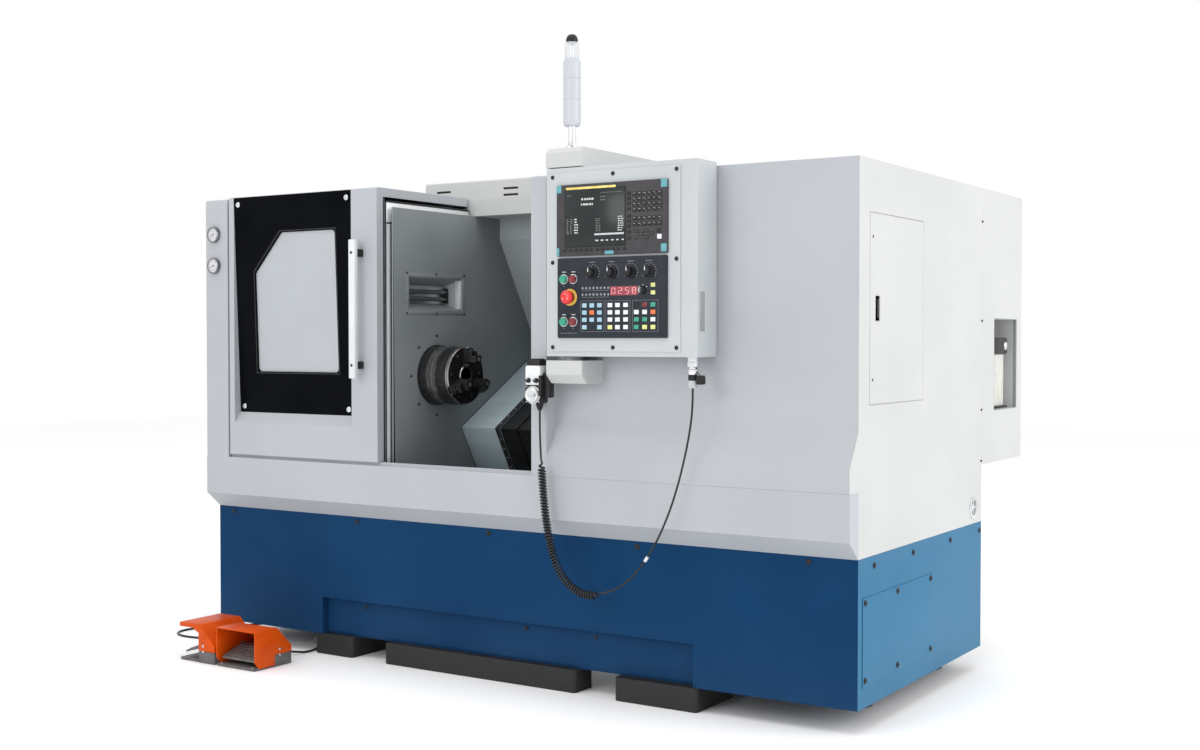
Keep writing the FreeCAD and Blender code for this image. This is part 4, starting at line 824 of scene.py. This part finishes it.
block(bm, dx0 - 4, dx1 + 4, face - 1.4, face + 0.4, dz0 - 4, dz1 + 4, 0.8, 1)
block(bm, dx0, dx1, face - 1.9, face - 1.0, dz0, dz1, 0.3, 2)
a, b, c, d = display["titleBar"]
block(bm, a, b, face - 2.3, face - 1.0, c, d, 0.3, 3)
a, b, c, d = display["whiteBar"]
block(bm, a, b, face - 2.2, face - 1.6, c, d, 0.2, 9)
for left, right, top, foot, rows, tall, coat in display["lists"]:
    for row in range(rows):
        z = top + (foot - top) * row / max(rows - 1, 1)
        x = left + random.uniform(0, 0.15) * (right - left)
        while x < right - 3:
            wide = min(random.uniform(4, 9), right - x)
            block(bm, x, x + wide, face - 2.2, face - 1.6, z - tall / 2, z + tall / 2, 0, coat)
            x += wide + random.uniform(1.5, 3.5)
for i in range(6):
    x = 1795 + i * 19
    block(bm, x, x + random.uniform(6, 11), face - 2.2, face - 1.6, 1366, 1370, 0, 4)
for x in display["softKeysX"]:
    key(bm, x, 1340, 11, 9, 5)
for z in display["sideKeysZ"]:
    key(bm, 1915, z, 12, 10, 5)
for z in display["keyRows"]:    # letter and number keys with small grey labels
    for column in range(6):
        x = 1935 + column * 17.6
        key(bm, x, z, 15.2, 12.6, 5)
        block(bm, x - 4.6, x - 4.6 + random.uniform(4, 8), face - 1.4, face - 0.6, z + 1.0, z + 3.4, 0, 10)
        if random.random() < 0.5:
            block(bm, x + 1.5, x + 5, face - 1.4, face - 0.6, z - 3.6, z - 2.0, 0, 10)
for x, z in display["arrows"]:
    key(bm, x, z, 14, 9.5, 5)
    block(bm, x - 2.5, x + 2.5, face - 1.4, face - 0.6, z - 0.8, z + 0.8, 0, 10)
key(bm, 2020, 1390, 14, 12, 5)
key(bm, 2021, 1372.5, 15, 14, 6)
for a, b, c, d in display["tabs"]:
    block(bm, a, b, face - 0.8, face + 0.4, c, d, 0.6, 7)
piece("screenUnit", bm,
      ("screenFrame", "blackPlastic", "screenGlass", "displayYellow", "displayWhite", "greyKey", "whiteKey",
       "tealMark", "displayGrey",
                         "dialWhite", "keyLabel"),
      "panel", 35, ("screen_unit",))
print("screen made")

keyUnit = dict(
    buttonX=(1678, 1713), buttonZ=(1252, 1120), knobs=(1783, 1853, 1920, 1985), knobZ=1270,
    stop=(1700, 1196), keyHole=(1964, 1213),
    ringLampsZ=(1223, 1203), figuresX=1860, figuresZ=1213,
    coats=("keyGround", "blackPlastic", "paleLine", "whiteKey", "blueKey", "orangeKey", "greenKey",
           "darkRedKey", "yellowKey",
           "displayPink", "satinSilver", "yellowRing", "dimLine", "displayRed"),
    # each pad: frame (x0, x1), its columns and rows, and one letter a key
    pads=(
        ((1740, 1826), (1754, 1781, 1809), "bbb bob bbb b.b"),
        ((1831, 1919), (1847, 1874, 1903), "www www www yww"),
        ((1927, 2017), (1941, 1970, 1999), "drg wwo gGw gyy"),
    ),
    rows=(1170, 1148, 1126, 1103),
)
letters = {"b": 4, "o": 5, "w": 3, "y": 8, "d": 1, "r": 7, "g": 6, "G": 6}
bm = bmesh.new()
x0, x1, z0, z1 = panel["keys"]
slab(bm, "y", rounded(x0, x1, z0, z1, 4), -136, -128, 1.2, 0)


def outlineBox(bm, a0, a1, b0, b1, coat, w=0.9):
    for rect in ((a0, a1, b1 - w, b1), (a0, a1, b0, b0 + w), (a0, a0 + w, b0 + w, b1 - w),
                 (a1 - w, a1, b0 + w, b1 - w)):
        block(bm, rect[0], rect[1], face - 0.5, face + 0.2, rect[2], rect[3], 0, coat)


for (a0, a1), columns, rows in keyUnit["pads"]:
    outlineBox(bm, a0, a1, 1089, 1184, 12)
    for z, letter in zip(keyUnit["rows"], rows.split()):
        for x, sign in zip(columns, letter):
            if sign != ".":
                key(bm, x, z, 16.6, 13, letters[sign], 1.6, 0.8)
for cx in keyUnit["knobs"]:    # tick arcs round the knobs
    for i in range(13):
        turn = math.radians(-30 + 20 * i)
        x, z = cx + 25 * math.cos(turn), keyUnit["knobZ"] + 25 * math.sin(turn)
        block(bm, x - 0.9, x + 0.9, face - 0.5, face + 0.2, z - 0.9, z + 0.9, 0, 2)
    block(bm, cx - 11, cx + 11, face - 0.5, face + 0.2, 1301, 1303, 0, 12)
for z in keyUnit["ringLampsZ"]:
    for i in range(8):
        x = 1747 + i * 13.4
        turned(bm, (x, face, z), toFront, [(0, 4.2), (0.9, 4.2), (1.1, 3.4), (0.6, 3.2), (0.6, 0.001)], 16,
               12)
        block(bm, x - 1.2, x + 1.2, face - 0.9, face + 0.2, z - 1.2, z + 1.2, 0, 2)
    block(bm, 1745, 1843, face - 0.5, face + 0.2, z - 8.5, z - 7.5, 0, 12)
block(bm, 1848, 1946, face - 1.4, face + 0.2, 1199, 1227, 0.6, 13)
segments = {"a": (0, 9, 6, 1.6), "b": (3.2, 4.6, 1.6, 7), "c": (3.2, -4.6, 1.6, 7), "d": (0, -9, 6, 1.6),
            "e": (-3.2, -4.6, 1.6, 7), "f": (-3.2, 4.6, 1.6, 7), "g": (0, 0, 6, 1.6)}
for i, lit in enumerate(("abcdef", "abged", "afgcd", "abcdefg")):
    for name in lit:
        sx, sz, w, h = segments[name]
        cx, cz = keyUnit["figuresX"] + i * 24.5, keyUnit["figuresZ"]
        block(bm, cx + sx * 1.8 - w * 0.9, cx + sx * 1.8 + w * 0.9, face - 2.0, face - 1.2, cz + sz - h / 2,
              cz + sz + h / 2, 0, 9)
key(bm, 1999, 1229, 15, 12, 8, 1.4)
key(bm, 1999, 1206, 15, 12, 8, 1.4)
for x in keyUnit["buttonX"]:
    for z in keyUnit["buttonZ"]:
        turned(bm, (x, face + 1, z), toFront, [(0, 16), (3, 16), (4.6, 15), (4.6, 12.6), (0, 12.4)], 40, 10)
        block(bm, x - 7, x + 7, face - 0.5, face + 0.2, z + 21, z + 23.5, 0, 2)
        block(bm, x - 3, x + 3, face - 0.5, face + 0.2, z - 22, z - 20.4, 0, 12)
stopX, stopZ = keyUnit["stop"]
turned(bm, (stopX, face + 1, stopZ), toFront, [(0, 26.2), (2, 26.2), (3, 25.4), (3, 13), (0, 13)], 48, 11)
turned(bm, (stopX, face - 2, stopZ), toFront, [(0, 17), (6, 17), (6.2, 13), (0, 13)], 40, 1)
holeX, holeZ = keyUnit["keyHole"]
turned(bm, (holeX, face + 1, holeZ), toFront, [(0, 13), (2.5, 13), (3.5, 12), (3.5, 10.5), (0, 10.4)], 40, 1)
for turn in (40, 90, 140):
    x, z = holeX + 17 * math.cos(math.radians(turn)), holeZ + 17 * math.sin(math.radians(turn))
    block(bm, x - 1.4, x + 1.4, face - 0.5, face + 0.2, z - 1.4, z + 1.4, 0, 3)
for i in range(7):    # small plain marks that stand for the labels
    block(bm, 1665 + i * 9, 1665 + i * 9 + 6, face - 0.5, face + 0.2, 1084, 1086, 0, 12)
piece("keyUnit", bm, keyUnit["coats"], "panel", 35, ("operator_unit",))

for number, (x, z) in enumerate([(x, z) for z in keyUnit["buttonZ"] for x in keyUnit["buttonX"]], 1):
    bm = bmesh.new()
    turned(bm, (x, face + 2, z), toFront,
           [(5.2, 12), (12, 12), (13.3, 11.4), (13.9, 10), (13.2, 7), (12.8, 0.001)], 40, 0)
    piece("pushButton" + str(number), bm, "greenKey" if x == keyUnit["buttonX"][0] else "darkRedKey",
          "button_" + str(number),
          30, ("push_button_" + str(number),))
for number, x in enumerate(keyUnit["knobs"], 1):
    bm = bmesh.new()
    turned(bm, (x, face - 0.4, keyUnit["knobZ"]), toFront,
           [(0, 18.6), (2.5, 19), (5, 18), (7, 16, 1), (23, 14.6, 1), (25, 13.2, 1), (25.6, 12),
            (25.6, 0.001)],
           96, 0, (12, 2.4))
    block(bm, x - 1.4, x + 1.4, face - 27, face - 25.8, 1272, 1283, 0.4, 1)
    block(bm, x - 1.4, x + 1.4, face - 6.2, face - 2.0, 1284, 1288, 0.4, 1)
    piece("rotaryKnob" + str(number), bm, ("blackPlastic", "whiteKey"), "knob_" + str(number),
          30, ("rotary_knob_" + str(number),))
bm = bmesh.new()
turned(bm, (stopX, face - 8.4, stopZ), toFront,
       [(0.6, 11.8), (5, 11.8), (5.4, 19), (6.4, 21.6), (9, 22), (13, 21.4), (17, 18.6), (19.4, 13),
        (20.4, 6), (20.6, 0.001)], 48, 0)
for i in range(3):
    turn = math.radians(90 + 120 * i)
    x, z = stopX + 10 * math.cos(turn), stopZ + 10 * math.sin(turn)
    block(bm, x - 1.6, x + 1.6, face - 29, face - 27.6, z - 1.6, z + 1.6, 0.4, 1)
piece("emergencyStopHead", bm, ("stopRed", "whiteKey"), "emergency_stop", 40, ("emergency_stop",))
bm = bmesh.new()
turned(bm, (holeX, face - 0.4, holeZ), toFront, [(0, 10), (6, 10), (7.6, 9), (7.6, 0.001)], 32, 0)
slab(bm, "x", rounded(face - 26, face - 8, 1204, 1222, 6), 1962.6, 1965.4, 0.6, 1)
piece("keySwitchKey", bm, ("blackPlastic", "satinSilver"), "key_switch", 35, ("key_switch",))
print("key unit made")

# Cord socket under the panel, with its dust cap on a strap
bm = bmesh.new()
turned(bm, (2115, -100, 1013), (0, 0, -1),
       [(0, 19), (3, 19), (4, 17), (14, 16.8), (15, 18.4), (28, 18.4), (30, 16.5)], 40, 0)
turned(bm, (2115, -100, 984), (0, 0, -1), [(0, 12.5), (6, 12.5), (8, 14.4, 1), (22, 14.4, 1), (24, 13)], 48,
       0, (24, 0.8))
turned(bm, (2115, -100, 960), (0, 0, -1), [(-8, 12), (0, 13.8), (14, 13.8), (20, 12), (37, 8), (39.5, 5)],
       40, 1)
turned(bm, (2142, -102, 958), (0, 0.1, -1), [(0, 13), (2, 14.4), (22, 14.4), (25, 12.5), (25.6, 0.001)], 40,
       1)
sweep(bm, [at(2115 + 15, -100, 982), at(2124, -100, 975), at(2132, -101, 968), at(2139, -102, 958)], 0.0016,
      8, 1)
piece("cordSocket", bm, ("chrome", "blackPlastic"), "panel", 35)

# Signal tower
tower = dict(x=1667, y=-75)
bm = bmesh.new()
x, y = tower["x"], tower["y"]
turned(bm, (x, y, 1663), toTop, [(0, 24), (4, 24), (6, 22), (6, 15), (14, 13.5), (30, 12.6), (75, 12.5)],
       40, 0)
turned(bm, (x, y, 1732), toTop, [(0, 18), (2, 24), (8, 27), (10, 27.4), (14, 27.4), (15, 26.6)], 48, 1)
turned(bm, (x, y, 1746), toTop,
       [(0, 27.2), (1, 28), (66, 28), (67, 27), (69, 27), (70, 28), (132, 28), (133, 27), (135, 27),
        (136, 28), (188, 28), (192, 26.5), (194, 23)], 48, 1)
turned(bm, (x, y, 1940), toTop, [(0, 22), (1, 23, 1), (52, 23, 1), (54, 22), (55, 18)], 96, 2, (24, 0.8))
turned(bm, (x, y, 1944), toTop, [(0, 9), (40, 9), (44, 6), (44, 0.001)], 24, 0)
turned(bm, (x, y, 1995), toTop, [(0, 18), (4, 19), (12, 18), (20, 14), (24, 8), (25, 0.001)], 40, 3)
piece("signalTower", bm, ("chrome", "towerWhite", "towerClear", "blackPlastic"), "machine", 35,
      ("signal_tower",))
print("tower up")

# Handwheel box in its holder
pendant = dict(x=1548, y=-100, low=841, high=1005, dialZ=890, knobZ=936)
x, y = pendant["x"], pendant["y"]
bm = bmesh.new()
slab(bm, "y", rounded(x - 29, x + 29, 863, 922, 7), y - 22, y + 22, 2.5, 0)
slab(bm, "y", rounded(x - 29, x + 29, 921, 983, 6), y - 22, y + 22, 2.5, 1)
slab(bm, "y", rounded(x - 26, x + 26, 978, pendant["high"], 11), y - 20, y + 20, 3.0, 0)
turned(bm, (x + 12, y, pendant["low"]), toTop,
       [(0, 6), (3, 8), (5, 7), (8, 10), (10, 9), (14, 12), (16, 11), (22, 14), (26, 14)], 32, 0)
turned(bm, (x, y - 21, pendant["dialZ"]), toFront, [(0, 28.4), (1.2, 28.4), (1.4, 27.6), (1.4, 0.001)], 64, 2)
block(bm, x + 28, 1603, y - 8, y + 20, 881, 960, 3, 0)
block(bm, x + 24, x + 34, y - 25, y + 24, 886, 952, 2, 0)
for a in (x - 24, x + 24):
    for z in (868, 916):
        screw(bm, (a, y - 22, z), toFront, 2.2, 0.8, 2)
piece("handwheelBox", bm, ("blackPlastic", "pendantWhite", "satinSilver"), "machine", 35,
      ("pendant_body",))
bm = bmesh.new()
turned(bm, (x, y - 22.4, pendant["dialZ"]), toFront,
       [(0, 26), (1, 26), (3, 25, 1), (8, 25, 1), (10, 23), (11.4, 20), (10.6, 17), (10.2, 8), (11.5, 7),
        (11.6, 0.001)],
       96, 0, (32, 0.7))
turned(bm, (x + 16, y - 32, pendant["dialZ"]), toFront,
       [(0, 3), (1, 4.6), (11, 5), (13, 3.6), (13.6, 0.001)], 24, 1)
piece("handwheelDial", bm, ("satinSilver", "zinc"), "pulse_wheel", 35, ("pulse_wheel",))
for number, a in ((1, x - 15), (2, x + 15)):
    bm = bmesh.new()
    turned(bm, (a, y - 22.4, pendant["knobZ"]), toFront,
           [(0, 8), (1.5, 8), (3, 7.4, 1), (10, 6.8, 1), (11.4, 5.6), (11.6, 0.001)], 60, 0, (10, 0.9))
    block(bm, a - 0.7, a + 0.7, y - 34.8, y - 33.8, pendant["knobZ"] + 1, pendant["knobZ"] + 6.5, 0.2, 1)
    piece("selector" + str(number), bm, ("blackPlastic", "whiteKey"), "selector_" + str(number),
          30, ("selector_knob_" + str(number),))
print("handwheel box made")

# Foot switches: bent orange hood, cast base, ribbed tread
footSwitch = dict(width=190, depth=175, height=135, sheet=4, floor=-75, front=-340, leftX=160, gap=10)


def footPlace(side):
    if side == "right":
        return lambda x, y, z: (footSwitch["leftX"] + footSwitch["depth"] + footSwitch["gap"] + x,
                                footSwitch["front"] + y, footSwitch["floor"] + z)
    return lambda x, y, z: (footSwitch["leftX"] + y, footSwitch["front"] + footSwitch["width"] - x,
                            footSwitch["floor"] + z)


def prismAt(bm, put, outline, x0, x1, edge, coat):
    near, far = [[at(*put(x, y, z)) for y, z in outline] for x in (x0, x1)]
    prism(bm, near, far, edge, coat)


bm = bmesh.new()
for side in ("left", "right"):
    put = footPlace(side)
    w, t, h = footSwitch["width"], footSwitch["sheet"], footSwitch["height"]
    openSide, closedSide = [(0, 120), (65, 120), (95, 105), (95, 42)], [(0, 30), (20, 6), (95, 6), (95, 42)]
    cheek = (openSide if side == "left" else closedSide) + [(175, 42), (175, 64), (105, h), (0, h)]
    prismAt(bm, put, cheek, 0, t, 1.0, 0)
    prismAt(bm, put, cheek, w - t, w, 1.0, 0)
    prismAt(bm, put, [(0, h - t), (0, h), (105, h), (175, 64), (175, 42), (171, 42), (171, 62), (103, 131)],
            t - 1, w - t + 1, 1.0, 0)
    prismAt(bm, put, [(0, 0), (0, 10), (95, 10), (95, 0)], t, w - t, 1.5, 1)
    prismAt(bm, put, [(95, 0), (95, 41.5), (175, 41.5), (175, 0)], 0, w, 3, 1)
    for x in (20, w - 20):
        x1, y1, z1 = put(x, 8, 10)
        screw(bm, (x1, y1, z1), toTop, 4, 2, 2)
    for z in (40, 60):
        a = put(w, 118, z)
        b = put(w + 1, 118, z)
        screw(bm, a, Vector(b) - Vector(a), 5, 1.5, 2)
    if side == "left":
        turned(bm, put(0, 150, 20), (0, 1, 0), [(0, 9), (4, 9), (5, 7.5), (9, 6.5), (10, 5)], 24, 3)
    else:
        turned(bm, put(w / 2, 175, 20), (0, 1, 0), [(0, 9), (4, 9), (5, 7.5), (9, 6.5), (10, 5)], 24, 3)
piece("footSwitchHoods", bm, ("orangePaint", "castGrey", "zinc", "blackPlastic"), "machine", 35,
      ("foot_switch_hoods",))
for side in ("left", "right"):
    bm = bmesh.new()
    put = footPlace(side)
    prismAt(bm, put, [(14, 26), (18, 34), (60, 50), (112, 65), (118, 56), (110, 51), (60, 40)], 14,
            footSwitch["width"] - 14, 1.2, 0)
    for i in range(6):
        y = 26 + i * 12
        z = 34 + (y - 18) * 0.36
        prismAt(bm, put, [(y, z - 2), (y, z + 2.4), (y + 5, z + 4.2), (y + 5, z - 1)], 22,
                footSwitch["width"] - 22, 0.5, 1)
    a, b = put(4.5, 118, 60), put(footSwitch["width"] - 4.5, 118, 60)
    turned(bm, a, Vector(b) - Vector(a), [(0, 6), (footSwitch["width"] - 9, 6)], 24, 0)
    piece("footTread" + side.capitalize(), bm, ("treadGrey", "castGrey"), "pedal_" + side, 35,
          ("pedal_" + side,))
print("foot switches made")

# Right end: lubrication bottle in the cabinet's side pocket, hose port, latch
lube = dict(y0=1215, y1=1471, z0=817, z1=1137, x0=2483)
x0 = lube["x0"]
bm = bmesh.new()
slab(bm, "z", rounded(x0 + 12, x0 + 92, 1265, 1411, 16), 825, 1012, 3, 0)
slab(bm, "z", rounded(x0 + 15, x0 + 89, 1268, 1408, 14), 828, 930, 2, 4)
for z in (850, 880, 910, 940, 970):
    slab(bm, "z", rounded(x0 + 11, x0 + 93, 1264, 1412, 16), z, z + 3, 1, 0)
block(bm, x0, x0 + 100, 1255, 1421, 1012, 1072, 6, 1)
turned(bm, (x0 + 70, 1300, 1070), toTop, [(0, 20), (4, 20), (6, 18, 1), (24, 17, 1), (26, 15), (26, 0.001)],
       48, 2, (16, 1.2))
block(bm, x0 + 20, x0 + 60, 1340, 1400, 1072, 1110, 4, 1)
turned(bm, (x0 + 100, 1380, 1042), toRight, [(0, 15), (6, 15), (8, 13), (8, 0.001)], 32, 3)
block(bm, x0 + 2, x0 + 100, 1255, 1421, 817, 825, 2, 1)
piece("lubeUnit", bm, ("milkBottle", "blackPlastic", "stopRed", "satinSilver", "oil"), "machine",
      35, ("lubrication_unit",))
bm = bmesh.new()
y0, y1, z0, z1 = lube["y0"], lube["y1"], lube["z0"], lube["z1"]
block(bm, 2479.5, 2481.5, y0 + 1, y1 - 1, z0 + 1, z1 - 1, 0.2)
piece("pocketBack", bm, "pocketGrey", "machine")
bm = bmesh.new()
for rect in ((y0 - 4, y0 + 0.5, z0 - 4, z1 + 4), (y1 - 0.5, y1 + 4, z0 - 4, z1 + 4),
             (y0, y1, z0 - 4, z0 + 0.5), (y0, y1, z1 - 0.5, z1 + 4)):
    block(bm, 2588, 2600, *rect, 1)
piece("pocketEdge", bm, "pocketGrey", "machine")

port = dict(y=998, z=490)
bm = bmesh.new()
turned(bm, (2592, port["y"], port["z"]), toRight,
       [(0, 33), (7, 33), (8, 38), (10, 38), (11, 36), (11, 27), (3, 26)], 48, 0)
for i in range(5):
    turn = 2 * math.pi * i / 5
    c, s = math.cos(turn), math.sin(turn)
    for r in (9, 15, 21):
        turned(bm, (2596, port["y"] + r * c, port["z"] + r * s), toRight,
               [(0, 3.4), (3, 3.4), (4, 2.6), (4, 0.001)], 12, 0)
turned(bm, (2588, port["y"], port["z"]), toRight, [(0, 27), (6, 27), (6, 0.001)], 40, 1)
turned(bm, (2594, port["y"], port["z"]), toRight, [(0, 8), (5, 8), (7, 6), (7, 0.001)], 32, 0)
piece("hosePort", bm, ("satinSilver", "blackPlastic"), "machine", 35)

bm = bmesh.new()
block(bm, 2596.5, 2599, 121, 153, 1119, 1194, 1.5, 0)
block(bm, 2597.5, 2602, 131, 143, 1128, 1185, 1.5, 1)
for z in (948, 1364):
    screw(bm, (2600, 100, z), toRight, 4, 1.4, 1)
piece("accessLatch", bm, ("blackPlastic", "blackedSteel"), "access_door", 35)
bm = bmesh.new()
doorLow, doorHigh = ((corner - at(0, 0, 0)) * 1000 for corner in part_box("access_door"))
y0, y1, z0, z1 = doorLow.y - 6, doorHigh.y + 6, doorLow.z - 6, doorHigh.z + 6
for rect in ((y0, y1, z0, z0 + 5.5), (y0, y1, z1 - 5.5, z1), (y0, y0 + 5.5, z0 + 5.5, z1 - 5.5),
             (y1 - 5.5, y1, z0 + 5.5, z1 - 5.5)):
    block(bm, 2591, 2596.5, *rect, 1)    # black strip in the gap round the door: painted shade for the dark gap
piece("accessGapShade", bm, "rubber", "machine")

# Back of the electrical cabinet and rear wall: louvres, hinges, filler plates
bm = bmesh.new()
for x0, z0 in ((1680, 760), (2260, 760), (1680, 1320), (2260, 1320)):
    for z in range(z0, z0 + 144, 16):
        slab(bm, "x", [(1533, z), (1539, z), (1533, z + 9)], x0, x0 + 190)
piece("cabinetLouvres", bm, "sidePaint", "cabinet_door", 30)
bm = bmesh.new()
for z in (760, 1110, 1440):
    turned(bm, (1538, 1535, z), toTop, [(0, 4), (1, 4.8), (59, 4.8), (60, 4)], 24, 0)
piece("cabinetHinges", bm, "zinc", "machine", 35)
bm = bmesh.new()
block(bm, 2488, 2517, 1534, 1539, 1036, 1204, 2, 0)
block(bm, 2494, 2511, 1536, 1540, 1060, 1180, 2, 1)
piece("cabinetHandlePlate", bm, ("blackPlastic", "chrome"), "cabinet_door", 35)
bm = bmesh.new()
for x0, x1, z0, z1 in ((140, 640, 560, 1080), (700, 1380, 560, 1080), (140, 1380, 1130, 1500)):
    block(bm, x0, x1, 1082.5, 1085, z0, z1, 0.8, 0)
    for x in (x0 + 18, (x0 + x1) / 2, x1 - 18):
        for z in (z0 + 18, z1 - 18):
            screw(bm, (x, 1085, z), (0, 1, 0), 5, 2.4, 1)
for i in range(12):
    z = 640 + i * 18
    slab(bm, "x", [(1084, z), (1090, z), (1084, z + 10)], 800, 1280, 0, 0)
piece("rearPlates", bm, ("sidePaint", "blackedSteel"), "machine", 30)
bm = bmesh.new()
for x, y in ((1660, 1180), (2480, 1180), (1660, 1440), (2480, 1440)):
    turned(bm, (x, y, 1588), toTop, [(0, 14), (3, 14), (4, 12), (4, 0.001)], 32, 0)
for x in (1560, 1620, 1680):
    turned(bm, (x, 1300, 631), (0, 0, -1), [(0, 16), (6, 16), (7, 13), (20, 12), (22, 9)], 24, 0)
piece("cabinetFittings", bm, "blackPlastic", "machine", 35)
print("right end and back made")

# A black sheet behind the vent box slots: painted shade, so the slots read as the dark inside of the box
bm = bmesh.new()
block(bm, 440, 1396, 706, 710, 1592, 1684, 0.5)
piece("ventShadeSheet", bm, "rubber", "machine")

# Floor, world and lamps
bm = bmesh.new()
reach = 14
bm.faces.new([bm.verts.new((x, y, -0.0004)) for x,
              y in ((-reach, -reach), (reach, -reach), (reach, reach), (-reach, reach))])
floorMesh = bpy.data.meshes.new("floor")
bm.to_mesh(floorMesh)
bm.free()
floorMesh.materials.append(bpy.data.materials.new("floorPaper"))
floor = bpy.data.objects.new("floor", floorMesh)
scene.collection.objects.link(floor)
paper = floorMesh.materials[0]
paper.use_nodes = True
paper.node_tree.nodes["Principled BSDF"].inputs["Base Color"].default_value = (0.96, 0.96, 0.96, 1)
paper.node_tree.nodes["Principled BSDF"].inputs["Roughness"].default_value = 0.9

world = bpy.data.worlds.new("studio")
scene.world = world
world.use_nodes = True
world.node_tree.nodes["Background"].inputs["Color"].default_value = (1, 1, 1, 1)
world.node_tree.nodes["Background"].inputs["Strength"].default_value = 1.0
scene.view_settings.view_transform = "Standard"

for name, spot, aim, wide, power in (
    ("keyLamp", (7.0, 0.5, 3.2), (1.0, 0.2, 0.8), 4.0, 190),
    ("topLamp", (0, -1.5, 7.0), (0, 0, 0), 6.0, 170),
    ("insideLamp", (-0.3, -4.5, 2.2), (-0.3, 0.0, 1.0), 1.5, 30),
):
    glow = bpy.data.lights.new(name, "AREA")
    glow.shape = "SQUARE"
    glow.size = wide
    glow.energy = power
    lampObject = bpy.data.objects.new(name, glow)
    scene.collection.objects.link(lampObject)
    lampObject.location = spot
    lampObject.rotation_euler = (Vector(aim) - Vector(spot)).to_track_quat("-Z", "Y").to_euler()
print("studio lit")
